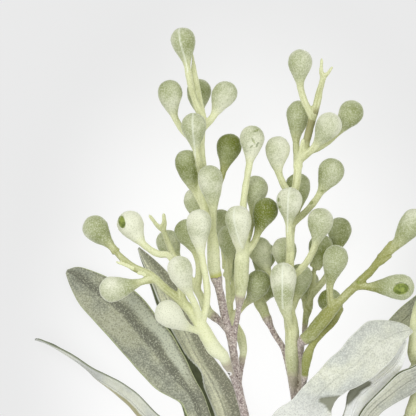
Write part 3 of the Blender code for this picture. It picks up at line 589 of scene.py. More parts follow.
class Shading:
    """A material and the nodes that make it."""

    def __init__(self, name):
        self.material = bpy.data.materials.new(name)
        self.material.use_nodes = True
        self.tree = self.material.node_tree
        self.shader = self.tree.nodes["Principled BSDF"]

    def plug(self, socket, value):
        if isinstance(value, Value):
            self.tree.links.new(value.socket, socket)
        elif socket.type == "RGBA":
            socket.default_value = (*value[:3], 1.0)
        else:
            socket.default_value = value

    def node(self, kind, settings=None, inputs=None, output=0):
        """The output of a new node, with its settings and its inputs by name or place."""
        made = self.tree.nodes.new(kind)
        for name, value in (settings or {}).items():
            setattr(made, name, value)
        for name, value in (inputs or {}).items():
            self.plug(made.inputs[name], value)
        return Value(self, made.outputs[output])

    def math(self, operation, first, second=0.0):
        return self.node("ShaderNodeMath", {"operation": operation}, {0: first, 1: second})

    def smooth(self, value, low, high):
        """0 on low's side, 1 on high's side, and smooth between them."""
        return self.node("ShaderNodeMapRange", {"interpolation_type": "SMOOTHSTEP"},
                         {"Value": value, "From Min": low, "From Max": high})

    def mix(self, factor, first, second):
        """A colour between two, by a factor."""
        return self.node("ShaderNodeMix", {"data_type": "RGBA"},
                         {0: factor, 6: first, 7: second}, 2)

    def attribute(self, name):
        return self.node("ShaderNodeAttribute", {"attribute_name": name}, None, 2)

    def places(self):
        """Object coordinates, in metres."""
        return self.node("ShaderNodeTexCoord", None, None, 3)

    def across_and_along(self):
        """A leaf's own coordinates: across it from -1 to 1, and along it from 0 to 1."""
        chart = self.node("ShaderNodeTexCoord", None, None, 2)
        split = self.node("ShaderNodeSeparateXYZ", None, {0: chart})
        along = Value(self, split.socket.node.outputs[1])
        return split * 2.0 - 1.0, along

    def grain(self, vector, scale, detail=2.0, roughness=0.5):
        """Noise from 0 to 1, with so many lumps to the unit."""
        return self.node("ShaderNodeTexNoise", None,
                         {"Vector": vector, "Scale": scale, "Detail": detail,
                          "Roughness": roughness})

    def stretched(self, vector, scale):
        return self.node("ShaderNodeMapping", None, {"Vector": vector, "Scale": scale})

    def bump(self, height, distance, strength):
        relief = self.node("ShaderNodeBump", None,
                           {"Height": height, "Distance": distance, "Strength": strength})
        self.plug(self.shader.inputs["Normal"], relief)

    def finish(self, colour, roughness, sheen=0.0, sheen_roughness=0.5, sheen_tint=(1, 1, 1)):
        """The material, once its shader has its colour, its roughness and its sheen."""
        self.plug(self.shader.inputs["Base Color"], colour)
        self.plug(self.shader.inputs["Roughness"], roughness)
        self.shader.inputs["Specular IOR Level"].default_value = 0.2
        self.shader.inputs["Sheen Weight"].default_value = sheen
        self.shader.inputs["Sheen Roughness"].default_value = sheen_roughness
        self.shader.inputs["Sheen Tint"].default_value = (*sheen_tint, 1.0)
        return self.material


def tinted(colour, factor):
    """A colour made darker or lighter by a factor."""
    return tuple(min(1.0, shade * factor) for shade in colour)


def flocked_green(colours):
    """Short flock over yellow-green plastic, from frosted to olive by the tone of each pod, which holds
    painted shade as well.
    """
    look = Shading("flocked_green")
    place = look.places()
    fine = look.grain(place, 1900.0, 3.0, 0.65)
    clumps = look.grain(place, 480.0, 2.0, 0.5)
    cloudy = look.grain(place, 85.0, 1.0)
    # A pod's tone is partly painted shade, deeper for pods that lie behind others
    tone = look.attribute("tone") + (clumps - 0.5) * 0.3 + (cloudy - 0.5) * 1.3
    pod = look.mix(look.smooth(tone, -0.05, 0.5), colours.frost, colours.sage)
    pod = look.mix(look.smooth(tone, 0.42, 1.0), pod, colours.olive)
    shaft_tone = look.attribute("tone") + (cloudy - 0.5) * 0.6 + look.attribute("streak") * 0.3
    shaft = look.mix(look.smooth(shaft_tone, 0.1, 1.05), colours.shaft, colours.deep_shaft)
    on_shaft = look.attribute("shaft")
    colour = look.mix(on_shaft, pod, shaft)
    frost = look.smooth(fine, 0.50, 0.62) * (1.0 - on_shaft * 0.25)
    colour = look.mix(frost * (0.50 - look.attribute("tone") * 0.32), colour, colours.frost)
    shade = look.smooth(fine, 0.49, 0.38) * (1.0 - on_shaft * 0.3)
    colour = look.mix(shade * (0.22 + look.attribute("tone") * 0.15), colour, colours.olive)
    # A darker brownish band along the axis between two levels
    colour = look.mix(look.attribute("stain") * (0.45 + cloudy * 0.6), colour, BROWNISH_OLIVE)
    colour = look.mix(look.attribute("seam") * 0.85, colour, SEAM_LINE)
    tear = look.attribute("tear")
    glow = look.attribute("glow")
    inside = look.mix(look.smooth(clumps + fine * 0.6 + glow * 0.1, 0.66, 0.98), colours.torn,
                      colours.lime)
    colour = look.mix(tear, colour, inside)
    rim = look.mix(glow, colours.collar, BARE_RIM)
    colour = look.mix(look.attribute("mouth") * 0.8, colour, rim)
    look.bump(fine * 0.8 + clumps * 1.2, 0.00025, 0.6)
    return look.finish(colour, 0.95 - tear * 0.35, 1.0, 0.3, (0.98, 1.0, 0.92))


def flocked_bark(colours):
    """Mauve-brown flock with pale and dark specks, and a paler collar under each socket."""
    look = Shading("flocked_bark")
    place = look.places()
    fine = look.grain(place, 1500.0, 3.0, 0.7)
    specks = look.grain(place, 1150.0, 2.0, 0.6)
    cloudy = look.grain(place, 150.0, 2.0)
    colour = look.mix(look.smooth(fine, 0.46, 0.60) * 0.85, colours.bark, colours.bark_light)
    colour = look.mix(look.smooth(specks, 0.48, 0.37) * 0.7, colour, colours.bark_dark)
    colour = look.mix(look.smooth(cloudy, 0.35, 0.75) * 0.25, colour, colours.bark_light)
    colour = look.mix(look.attribute("collar") * 0.8, colour,
                      look.mix(fine, tinted(colours.collar, 0.75), tinted(colours.collar, 1.2)))
    colour = look.mix(look.attribute("ring"), colour, SCAR_RING)
    # Painted shade in the hollow of each scar
    colour = look.mix(look.attribute("hollow"), colour, SCAR_HOLLOW_SHADE)
    core = look.attribute("core")
    inside = look.mix(look.grain(place, 1200.0), *STEM_CORE)
    colour = look.mix(core, colour, inside)
    look.bump(fine + specks * 0.8, 0.00025, 0.6)
    return look.finish(colour, 0.95 - core * 0.4, 0.9, 0.35, (1.0, 0.95, 0.95))


def cooled(colour):
    """A colour turned a little towards blue."""
    return (colour[0] * 0.94, colour[1] * 0.97, colour[2] * 1.04)


def sage_bands(look, colour, across, along, wandering, plain):
    """Painted shade in a band beside the midrib, a painted highlight band past it, and painted shade
    along the border and the base.
    """
    # Painted shade beside the midrib, reaching across the base
    low = (1.0 - look.smooth(along, 0.20, 0.34)) * look.smooth(wandering, -0.25, 0.10)
    shadow = look.smooth(across, -0.04, 0.08) * (1.0 - look.smooth(wandering, 0.20, 0.55))
    shadow = look.math("MAXIMUM", shadow, low * 0.75)
    colour = look.mix(shadow * 0.9, colour, tinted(plain, 0.40))
    # A painted highlight band past the shaded one
    painted_highlight = look.smooth(wandering, 0.30, 0.52) * (1.0 - look.smooth(across, 0.78, 0.97))
    painted_highlight = painted_highlight * (1.0 - look.smooth(along, 0.50, 0.85)) * look.smooth(along, 0.24, 0.38)
    colour = look.mix(painted_highlight * 0.9, colour, tinted(cooled(plain), 1.9))
    # Painted shade along the far border
    border = look.smooth(wandering, 0.78, 0.95)
    return look.mix(border * 0.6, colour, tinted(plain, 0.45))


def pale_patches(look, colour, along, broad):
    """A paler base in painted light, creamy patches and a slightly deeper tip."""
    # Painted light on the pale leaf's base
    colour = look.mix(look.smooth(along, 0.50, 0.34) * 0.75, colour, PALE_BASE)
    colour = look.mix(look.smooth(broad, 0.54, 0.66) * 0.6, colour, CREAM)
    return look.mix(look.smooth(along, 0.60, 0.85) * 0.35, colour, PALE_TIP)


def edge_lines(look, colour, across, along, mottle):
    """A dark line along the upper edge, and an olive one along the lower edge's near part."""
    thin = look.smooth(along, 0.70, 0.95) * 0.06
    upper = look.smooth(across + thin, 0.91, 0.96)
    colour = look.mix(upper * 0.75, colour, EDGE_SHADE)
    lower = look.smooth(0.0 - across + (mottle - 0.5) * 0.5, 0.12, 0.34)
    lower = lower * (1.0 - look.smooth(along, 0.71, 0.76) * 0.8)
    return look.mix(lower * 0.9, colour, EDGE_OLIVE)


def leaf_face(colours, name):
    """Matt flocked cloth: mottled, with a soft midrib darkened by painted shade, fine specks and a line
    at the edge. Some cloths have painted shade and highlight bands, and turned margins and tucks are
    painted in shade.
    """
    cloth = CLOTHS[name]
    look = Shading("leaf_" + name)
    across, along = look.across_and_along()
    place = look.places()
    fine = look.grain(place, 1700.0, 3.0, 0.65)
    mottle = look.grain(place, 420.0, 2.0, 0.5)
    cloudy = look.grain(place, 75.0, 2.0, 0.4)
    strips = look.node("ShaderNodeCombineXYZ", None, {0: across * 6.5, 1: along * 1.8})
    strip = look.grain(strips, 1.0, 1.0, 0.5)
    from_middle = look.math("ABSOLUTE", across)
    plain = getattr(colours, cloth.colour)
    light = tinted(plain, 1 + cloth.spread)
    deep = tinted(plain, 1 - cloth.spread)
    warm = (plain[0] * 1.12, plain[1] * 1.12, plain[2])
    broad = mottle * 0.3 + cloudy * 0.7
    colour = look.mix(look.smooth(cloudy, 0.35, 0.65), cooled(plain), warm)
    colour = look.mix(look.smooth(broad, 0.48, 0.68) * 0.75, colour, light)
    colour = look.mix(look.smooth(broad, 0.52, 0.32) * 0.75, colour, deep)
    colour = look.mix(look.smooth(strip, 0.52, 0.66) * cloth.streaked * 0.6, colour, light)
    colour = look.mix(look.smooth(strip, 0.48, 0.34) * cloth.streaked * 0.6, colour, deep)
    # Painted shade along the midrib's groove
    groove_shade = 1.0 - look.smooth(from_middle, 0.01, 0.07)
    colour = look.mix(groove_shade * (0.3 if name == "pale" else 0.65), colour, deep)
    wandering = across + (cloudy - 0.5) * 0.5
    # Painted shade and highlight bands on the sage cloth
    if name == "sage":
        colour = sage_bands(look, colour, across, along, wandering, plain)
    if name == "folded":
        shadow = look.smooth(wandering, 0.02, 0.35)
        colour = look.mix(shadow * 0.85, colour, tinted(plain, 0.36))
    if name == "pale":
        colour = pale_patches(look, colour, along, broad)
    colour = look.mix(look.smooth(fine, 0.50, 0.62) * cloth.speckle, colour, light)
    colour = look.mix(look.smooth(fine, 0.50, 0.38) * cloth.speckle, colour, deep)
    specks = look.smooth(fine, 0.63, 0.69) * (0.15 if name in ("pale", "silver") else 0.28)
    colour = look.mix(specks, colour, LEAF_SPECK)
    # The turned-down margin is painted in the dark underside colour, as painted shade
    margin = look.attribute("margin")
    under = look.mix(mottle, tinted(colours.leaf_under, 0.8), tinted(colours.leaf_under, 1.9))
    colour = look.mix(margin, colour, under)
    crease = margin * (1.0 - margin) * 4.0
    edge = look.smooth(from_middle + (mottle - 0.5) * 0.05, 0.93, 0.975)
    line = colours.leaf_edge if cloth.rim == "green rim" else PALE_LINE
    colour = look.mix(look.math("MAXIMUM", edge * 0.8, crease * 0.8), colour, line)
    if name == "edgewise":
        colour = edge_lines(look, colour, across, along, mottle)
    # Painted shade in the tucks
    colour = look.mix(look.attribute("tuck") * 0.9, colour, TUCK_SHADE)
    look.bump(fine * 0.6 + mottle * 0.9 + strip * 0.5 * cloth.streaked, 0.0003, 0.6)
    return look.finish(colour, 0.92, 0.5, 0.4)


def leaf_underside(colours):
    """The dark olive underside of a leaf, with its midrib a little paler."""
    look = Shading("leaf_underside")
    across = look.across_and_along()[0]
    place = look.places()
    fine = look.grain(place, 1900.0, 3.0, 0.6)
    mottle = look.grain(place, 350.0, 3.0)
    from_middle = look.math("ABSOLUTE", across)
    under = colours.leaf_under
    pale = tinted(under, 2.2)
    colour = look.mix(look.smooth(mottle, 0.40, 0.70) * 0.6, under, pale)
    rib = 1.0 - look.smooth(from_middle, 0.03, 0.10)
    colour = look.mix(rib * 0.5, colour, pale)
    colour = look.mix(look.smooth(fine, 0.55, 0.70) * 0.5, colour, pale)
    look.bump(fine + mottle, 0.0003, 0.5)
    return look.finish(colour, 0.9, 0.3)


def leaf_rim(name, edge):
    """The cut edge of a leaf's cloth, speckled round one colour."""
    look = Shading(name)
    fine = look.grain(look.places(), 1900.0, 3.0)
    colour = look.mix(fine, tinted(edge, 0.8), tinted(edge, 1.4))
    look.bump(fine, 0.0002, 0.5)
    return look.finish(colour, 0.9)


def jute(colours):
    """Dry twisted jute, with paler and darker fibres and a shade for each strand."""
    look = Shading("jute_twine")
    place = look.places()
    fine = look.grain(place, 2600.0, 3.0, 0.7)
    patch = look.grain(place, 260.0, 2.0)
    strand = look.attribute("strand")
    twine = colours.twine
    colour = look.mix(look.smooth(fine, 0.40, 0.66), tinted(twine, 0.55), tinted(twine, 1.3))
    colour = look.mix(look.smooth(patch, 0.45, 0.70) * 0.4, colour, DRY_FIBRE)
    colour = look.mix(strand * 0.3, colour, tinted(twine, 0.6))
    look.bump(fine + patch, 0.0003, 0.8)
    return look.finish(colour, 0.9, 0.3)


def pale_floor(colours):
    """A pale floor that is lit from below as a light table is, and dims away from the middle."""
    look = Shading("pale_floor")
    centred = look.node("ShaderNodeVectorMath", {"operation": "SUBTRACT"},
                        {0: look.places(), 1: GLOW_MIDDLE})
    oval = look.stretched(centred, (1.3, 0.85, 1.0))
    reach = look.node("ShaderNodeVectorMath", {"operation": "LENGTH"}, {0: oval}, 1)
    floor = colours.floor
    glow = look.mix(look.smooth(reach, 0.04, 0.125), floor, tinted(floor, 0.745))
    look.plug(look.shader.inputs["Emission Color"], glow)
    look.shader.inputs["Emission Strength"].default_value = 0.90
    return look.finish(tinted(floor, 0.13), 0.95)


# Modelling by hand

def take(item):
    """Select one object alone and make it the active one."""
    bpy.ops.object.select_all(action="DESELECT")
    item.select_set(True)
    bpy.context.view_layer.objects.active = item


def modify(item, kind, **settings):
    """Add a modifier with its settings and apply it."""
    take(item)
    bpy.ops.object.modifier_add(type=kind)
    modifier = item.modifiers[-1]
    for name, value in settings.items():
        setattr(modifier, name, value)
    bpy.ops.object.modifier_apply(modifier=modifier.name)


def joined(items, name):
    """The items made one, under a name."""
    take(items[0])
    for item in items:
        item.select_set(True)
    bpy.ops.object.join()
    items[0].name = name
    items[0].data.name = name
    return items[0]


def drop_bubbles(item):
    """Delete the closed bubbles that a voxel remesh leaves inside its outer skin."""
    before = len(item.data.polygons)
    outermost = max(item.data.vertices, key=lambda vertex: vertex.co.y).index
    take(item)
    bpy.ops.object.mode_set(mode="EDIT")
    bpy.ops.mesh.select_all(action="DESELECT")
    bpy.ops.object.mode_set(mode="OBJECT")
    item.data.vertices[outermost].select = True
    bpy.ops.object.mode_set(mode="EDIT")
    bpy.ops.mesh.select_linked()
    bpy.ops.mesh.select_all(action="INVERT")
    bpy.ops.mesh.delete(type="VERT")
    bpy.ops.object.mode_set(mode="OBJECT")
    if len(item.data.polygons) < 0.99 * before:
        raise RuntimeError(f"{item.name} is not in one piece")


def moulded(items, name, grain):
    """The tubes fused in one skin, with soft fillets where they meet."""
    item = joined(items, name)
    modify(item, "REMESH", mode="VOXEL", voxel_size=grain)
    drop_bubbles(item)
    modify(item, "SMOOTH", factor=0.5, iterations=4)
    return item


def settle(item, materials, slot, *nodes):
    """Bring a finished piece to its place in the frame, with its looks, in its nodes' stead."""
    item.data.transform(Matrix.Scale(MM, 4) @ Matrix.Translation(-BOX_MIDDLE))
    if not item.data.materials:
        for material in materials:
            item.data.materials.append(material)
    item.data.shade_smooth()
    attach(item, "root")
    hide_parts(*nodes)


def tube(points, radii, resolution=6):
    """A closed round tube drawn as a bevelled curve and made a mesh."""
    bpy.ops.object.select_all(action="DESELECT")
    bpy.ops.curve.primitive_nurbs_path_add()
    item = bpy.context.object
    path = item.data
    path.splines.clear()
    path.bevel_depth = 1.0
    path.bevel_resolution = resolution
    path.use_fill_caps = True
    spline = path.splines.new("POLY")
    spline.points.add(len(points) - 1)
    for ring, point, radius in zip(spline.points, points, radii):
        ring.co = (*point, 1.0)
        ring.radius = radius
    bpy.ops.object.convert(target="MESH")
    return bpy.context.object


def vertex_places(mesh):
    flat = np.empty(len(mesh.vertices) * 3)
    mesh.vertices.foreach_get("co", flat)
    return flat.reshape(-1, 3)


def vertex_normals(mesh):
    flat = np.empty(len(mesh.vertices) * 3)
    mesh.vertex_normals.foreach_get("vector", flat)
    return flat.reshape(-1, 3)


def place_vertices(mesh, places):
    mesh.vertices.foreach_set("co", places.ravel())
    mesh.update()


def write_attributes(mesh, **looks):
    """Keep numbers for each vertex, or one for all, which the material reads by their names."""
    for name, values in looks.items():
        made = mesh.attributes.new(name, "FLOAT", "POINT")
        spread = np.broadcast_to(np.asarray(values, dtype=np.float32), len(mesh.vertices))
        made.data.foreach_set("value", np.ascontiguousarray(spread))


def eased(values, low, high):
    """0 under low, 1 over high, and smooth between them."""
    share = np.clip((values - low) / (high - low), 0.0, 1.0)
    return share * share * (3 - 2 * share)


def lumpy(places, *waves):
    """An uneven height at each place: noise of so many lumps to the mm, each with its height."""
    return np.array([sum(noise.noise(Vector(place) * scale) * height for scale, height in waves)
                     for place in places])


def edit_faces(item, chosen):
    """Open a piece for work by hand, with just the faces selected that are chosen."""
    take(item)
    bpy.ops.object.mode_set(mode="EDIT")
    bpy.ops.mesh.select_all(action="DESELECT")
    shape = bmesh.from_edit_mesh(item.data)
    for face in shape.faces:
        face.select_set(chosen(face))
    bmesh.update_edit_mesh(item.data)


def within(point, reach):
    """A test for faces within reach of a point."""
    return lambda face: (face.calc_center_median() - point).length < reach


def cut_square(item, point, heading, reach):
    """Cut off an end square across its tube, only where faces are within reach of a point."""
    edit_faces(item, within(point, reach))
    bpy.ops.mesh.bisect(plane_co=point, plane_no=heading, use_fill=True, clear_inner=True)
    bpy.ops.object.mode_set(mode="OBJECT")


def sink_mouth(item, point, heading):
    """Sink the middle of a socket's square-cut mouth, which leaves a lip round it."""
    def is_end(face):
        level = abs((face.calc_center_median() - point).dot(heading)) < 0.02
        return level and face.normal.dot(heading) < -0.9 and face.calc_area() > 2.0

    edit_faces(item, is_end)
    for thickness, sunk in ((MOUTH_LIP, 0.0), (0.08, -MOUTH_DEPTH), (0.3, 0.0)):
        bpy.ops.mesh.inset(thickness=thickness, depth=sunk, use_even_offset=False)
    bpy.ops.object.mode_set(mode="OBJECT")


def refine_near(item, point, reach):
    """Cut each side of the faces near a point in three."""
    edit_faces(item, within(point, reach))
    bpy.ops.mesh.subdivide(number_cuts=2, smoothness=0.0)
    bpy.ops.object.mode_set(mode="OBJECT")


# Routes

def smooth_route(points):
    """Points about a millimetre apart on a smooth curve through the given ones."""
    knots = [Vector(point) for point in points]
    spans = [(end - start).length for start, end in zip(knots, knots[1:])]
    slopes = []
    for index in range(len(knots)):
        before = max(index - 1, 0)
        after = min(index + 1, len(knots) - 1)
        slopes.append((knots[after] - knots[before]) / sum(spans[before:after]))
    route = []
    for index, span in enumerate(spans):
        start = knots[index]
        end = knots[index + 1]
        reach = span / 3
        count = max(3, math.ceil(span / ROUTE_STEP))
        route += interpolate_bezier(start, start + slopes[index] * reach,
                                    end - slopes[index + 1] * reach, end, count)[:-1]
    return route + [knots[-1]]


def route_length(route):
    return sum((end - start).length for start, end in zip(route, route[1:]))


def at_distance(route, distance):
    """The point at a distance along a route, and the route's direction there."""
    for start, end in zip(route, route[1:]):
        span = (end - start).length
        heading = (end - start).normalized()
        if distance <= span:
            return start + heading * distance, heading
        distance -= span
    return route[-1].copy(), heading


def at_level(route, level):
    """The point of a route at a level along Y, and its distance from the route's start."""
    travelled = 0.0
    for start, end in zip(route, route[1:]):
        if start.y <= level <= end.y:
            share = (level - start.y) / (end.y - start.y)
            return start.lerp(end, share), travelled + (end - start).length * share
        travelled += (end - start).length
    return route[-1].copy(), travelled


def steps(first, last, spacing):
    """Distances from first to last, both included, about the spacing apart."""
    count = max(1, round((last - first) / spacing))
    return [first + (last - first) * step / count for step in range(count + 1)]


def named(records, name):
    """The record of a name."""
    return next(record for record in records if record.name == name)


def twig_route(stem, twig):
    return smooth_route((at_level(smooth_route(stem.route), twig.level)[0], *twig.route))


def twig_ends():
    """The end point and heading of the twig that each sprig is pushed on."""
    ends = {}
    for stem in STEMS:
        routes = {stem.sprig: smooth_route(stem.route)}
        for sprig, twig in stem.twigs.items():
            routes[sprig] = twig_route(stem, twig)
        for sprig, route in routes.items():
            ends[sprig] = (route[-1], (route[-1] - route[-2]).normalized())
    return ends


def picture_place(place, height=PLAN_HEIGHT):
    """The point of the bundle's plan, in mm, that a pixel of the picture shows at a height."""
    scale = (CAMERA_PLACE[2] - height) / PIXELS_PER_SLOPE
    return (CAMERA_PLACE[0] + scale * (place[0] - PICTURE_MIDDLE[0]),
            CAMERA_PLACE[1] + scale * (PICTURE_MIDDLE[1] - place[1]))


def seen_from_above(item, place):
    """The point of a piece's surface that is seen at a place of the picture, and its normal."""
    x, y = picture_place(place)
    tree = BVHTree.FromObject(item, bpy.context.evaluated_depsgraph_get())
    point, normal = tree.ray_cast(Vector((x, y, OVER_ALL)), -UP)[:2]
    if point is None:
        point, normal = tree.find_nearest(Vector((x, y, PLAN_HEIGHT)))[:2]
    return point, normal


# Stems

def wavering(distance, seed):
    """The factor by which a radius wavers along a tube."""
    return 1.0 + WAVER * noise.noise(Vector((distance * 0.16, seed, 0.0)))


def foot_cut(item, route):
    """A stem's square-cut foot, with a chamfer and the pale core of its cut end."""
    point, heading = at_distance(route, 0.0)
    cut_square(item, point, heading, 6.0)
    edit_faces(item, lambda face: face.calc_area() > 5.0 and face.normal.dot(heading) < -0.9)
    for thickness, raised in ((0.25, 0.18), (0.15, 0.0), (0.9, -0.12), (0.12, -0.5)):
        bpy.ops.mesh.inset(thickness=thickness, depth=raised)
    bpy.ops.object.mode_set(mode="OBJECT")


def mouth_radius(name):
    """The radius of a sprig's socket at its mouth."""
    sprig = named(SPRIGS, name)
    return sprig.socket_radius * sprig.mouth


def stem_tube(route, walk, plain, seed, sprig, ends):
    """A stem's or twig's tube, which swells to its socket's mouth and ends in a thinner plug.

    The walk is distances along its route, and plain holds its radius at each.
    """
    end, heading = ends[sprig]
    mouth = mouth_radius(sprig) - 0.02
    points = [at_distance(route, distance)[0] for distance in walk]
    radii = []
    for distance, radius in zip(walk, plain):
        swell = 1 - float(eased(walk[-1] - distance, 0.0, SWELL_LENGTH))
        radii.append((radius + (mouth - radius) * swell) * wavering(distance, seed))
    plug = max(radii[-1] - 0.5, 0.4)
    return tube(points + [end + heading * 0.15, end + heading * 2.5], radii + [plug, plug * 0.9])


def make_stem(stem, number, sizes, ends, material):
    """A brown stem with its twigs, its cut foot and the scars where other twigs were cut off."""
    thick = sizes.stem_radius / MM
    thin, low, high = stem.branch
    main = smooth_route(stem.route)
    main[0] = main[0] - (main[1] - main[0]).normalized()
    walk = steps(0.0, route_length(main), 1.2)
    plain = [thick + (thin - thick) * float(eased(at_distance(main, distance)[0].y, low, high))
             for distance in walk]
    parts = [stem_tube(main, walk, plain, number * 7.0, stem.sprig, ends)]
    for sprig, twig in stem.twigs.items():
        route = twig_route(stem, twig)
        walk = steps(0.0, route_length(route), 0.8)
        plain = [twig.radius * (1.0 + 0.25 * math.exp(-distance / 2.5)) for distance in walk]
        parts.append(stem_tube(route, walk, plain, len(sprig), sprig, ends))
    item = moulded(parts, stem.name + "_flocked", sizes.grain / MM)
    foot_cut(item, smooth_route(stem.route))
    scars = []
    for place in stem.scars:
        point, normal = seen_from_above(item, place)
        refine_near(item, point, 1.6)
        scars.append((point, normal))
    mesh = item.data
    places = vertex_places(mesh)
    foot = stem.route[0][1]
    lumps = lumpy(places, (0.9, 0.05), (2.4, 0.04)) * eased(places[:, 1], foot + 0.5, foot + 2.0)
    places += vertex_normals(mesh) * lumps[:, None]
    ring = np.zeros(len(places))
    hollow = np.zeros(len(places))
    for point, normal in scars:
        away = np.linalg.norm(places - np.array(point), axis=1)
        ring = np.maximum(ring, 1 - eased(away, 1.0, 1.2))
        # The hollow is sunk a little, and its mask carries painted shade
        hollow = np.maximum(hollow, 1 - eased(away, 0.4, 0.55))
        raised = 0.15 * ((away < 1.0) & (away > 0.45)) - 0.35 * (away <= 0.45)
        places += np.array(normal) * raised[:, None]
    place_vertices(mesh, places)
    collar = np.zeros(len(places))
    for name in (stem.sprig, *stem.twigs):
        fade = named(SPRIGS, name).fade
        away = np.linalg.norm(places - np.array(ends[name][0]), axis=1)
        collar = np.maximum(collar, 1 - eased(away, 0.3 * fade, 1.2 * fade + 1.0))
    inner = np.linalg.norm(places - np.array(stem.route[0]), axis=1) < thick - 0.3
    core = (places[:, 1] < foot + 0.3) & inner
    write_attributes(mesh, collar=collar, ring=ring * (1 - hollow), hollow=hollow, core=core)
    settle(item, [material], "bark", stem.name)


# Sprigs

def axis_radius(sprig, distance, length):
    """A sprig's radius: its socket widens from its mouth, then narrows to a tapering axis."""
    low, high = sprig.narrowing
    entry = float(eased(distance, 0.0, SOCKET_ENTRY))
    socket = sprig.socket_radius * (sprig.mouth + (1 - sprig.mouth) * entry)
    blend = float(eased(distance / sprig.socket_length, low, high))
    axis = min(AXIS_RADIUS, sprig.socket_radius * AXIS_SHARE) - AXIS_TAPER * distance / length
    return socket + (axis - socket) * blend


def axis_tone(sprig, share):
    """A sprig's tone at a share of its axis, which may change past its socket."""
    far = sprig.tone if sprig.far_tone is None else sprig.far_tone
    return sprig.tone + (far - sprig.tone) * float(eased(share, 0.25, 0.55))


def pedicel_route(axis, middle, pointing, level):
    """A curved route from the axis at a level to a point, arriving in a given direction."""
    root, travelled = at_level(axis, level)
    heading = at_distance(axis, travelled)[1]
    reach = (middle - root).length * 0.42
    offset = middle - root
    lateral = offset - heading * offset.dot(heading)
    sideways = min(lateral.length / offset.length * 2.2, 1.0)
    leaving = (heading * 0.75 + lateral.normalized() * sideways).normalized()
    return interpolate_bezier(root, root + leaving * reach, middle - pointing * reach, middle, 24)


class Skeleton:
    """Points along a sprig's tubes, each with the radius and the looks of the tube there."""

    def __init__(self):
        self.points = []
        self.headings = []
        self.rows = []

    def add(self, point, heading, radius, tone, shaft, distance):
        self.points.append(point)
        self.headings.append(heading)
        self.rows.append((radius, tone, shaft, distance))

    def nearest(self, places):
        """For each place the number of the point whose tube's skin is nearest."""
        points = np.array(self.points)
        radii = np.array([row[0] for row in self.rows])
        chosen = np.empty(len(places), dtype=int)
        for first in range(0, len(places), 4000):
            some = places[first:first + 4000]
            away = np.linalg.norm(some[:, None, :] - points[None, :, :], axis=2) - radii
            chosen[first:first + 4000] = away.argmin(axis=1)
        return chosen


def pod_radius(offset, sizes, pod):
    """A pod's radius at an offset from its middle, in pod radii: taper, then round end."""
    round_end = sizes.pod_radius / MM * pod.girth
    pedicel = sizes.pedicel_radius / MM
    if offset < 0:
        share = min(-offset / pod.taper, 1.0)
        return pedicel + (round_end - pedicel) * (0.5 + 0.5 * math.cos(math.pi * share))
    return round_end * math.sqrt(max(1 - offset ** 2, 0.0))


def make_pod(axis, pod, sprig, sizes, skeleton):
    """A pod's tube, from its pedicel's flared root to its end, its middle and where it points."""
    middle = Vector(pod.middle)
    root, travelled = at_level(axis, pod.level)
    lean = math.radians(pod.lean)
    rise = 0.5 * (middle.z - root.z) / (middle - root).length
    pointing = Vector((math.sin(lean), math.cos(lean), rise)).normalized()
    unit = sizes.pod_radius / MM
    if pod.via:
        route = smooth_route((root, *pod.via, middle - pointing * unit, middle))
    else:
        route = pedicel_route(axis, middle, pointing, pod.level)
    reach = route_length(route)
    root_tone = axis_tone(sprig, travelled / route_length(axis))
    route.append(middle + pointing * unit)
    offsets = [pod.taper * (step / 18 - 1) for step in range(19)]
    offsets += [math.sin(math.radians(angle)) for angle in (10, 20, 30, 40, 50, 60, 70, 78, 84, 88)]
    taper_start = reach - pod.taper * unit
    walk = steps(0.0, taper_start, 0.8)[:-1] if taper_start > 1.0 else []
    walk += [reach + offset * unit for offset in offsets if reach + offset * unit > 0.0]
    points = []
    radii = []
    for distance in walk:
        offset = (distance - reach) / unit
        point, heading = at_distance(route, distance)
        flare = 1.0 + 0.45 * math.exp(-distance / 1.8)
        radius = pod_radius(offset, sizes, pod) * (flare if offset < -1.0 else 1.0)
        points.append(point)
        radii.append(radius)
        along = min(distance / max(reach, 1.0), 1.0)
        share = float(eased(offset, -pod.taper - 0.1, -0.7))
        tone = root_tone + (pod.tone - root_tone) * along
        skeleton.add(point, heading, radius, tone, 1.0 - share, distance)
    return tube(points, radii), middle, pointing


def make_spur(axis, spur, sprig, skeleton):
    """A bare spur's tube, which thins to a blunt end."""
    end = Vector(spur.end)
    pointing = (end - at_level(axis, spur.level)[0]).normalized()
    route = pedicel_route(axis, end, pointing, spur.level)
    length = route_length(route)
    points = []
    radii = []
    for distance in steps(0.0, length, 0.5):
        share = distance / length
        point, heading = at_distance(route, distance)
        radius = spur.radius * (1.0 - 0.4 * share) * (1 + 0.3 * math.exp(-distance))
        if share > 0.9:
            radius *= 1.0 - (share - 0.9) * 5.0
        points.append(point)
        radii.append(radius)
        skeleton.add(point, heading, radius, sprig.tone, 1.0, distance)
    return tube(points, radii)


def tear_open(item, tear):
    """Push a tear in by its depth where the camera sees it, and raise a ragged rim round it."""
    point, normal = seen_from_above(item, tear.place)
    refine_near(item, point, max(tear.size) + 1.0)
    mesh = item.data
    places = vertex_places(mesh)
    side = normal.cross(HEADWARD).normalized()
    ahead = side.cross(normal)
    turned = Quaternion(normal, math.radians(tear.turn))
    side.rotate(turned)
    ahead.rotate(turned)
    local = places - np.array(point)
    across = local @ np.array(side) / tear.size[0]
    along = local @ np.array(ahead) / tear.size[1]
    height = local @ np.array(normal)
    angle = np.arctan2(along, across)
    ragged = (1.0 + 0.13 * np.sin(3 * angle + tear.place[0]) + 0.10 * np.sin(5 * angle + 1.7)
              + 0.07 * np.sin(9 * angle + tear.place[1]))
    reach = np.hypot(across, along) / ragged
    facing = np.abs(height) < 2.5
    inside = (1 - eased(reach, 0.86, 1.0)) * facing
    rim = np.exp(-((reach - 1.06) / 0.10) ** 2) * facing
    places += np.array(normal) * (rim * 0.12 - inside * tear.depth)[:, None]
    place_vertices(mesh, places)


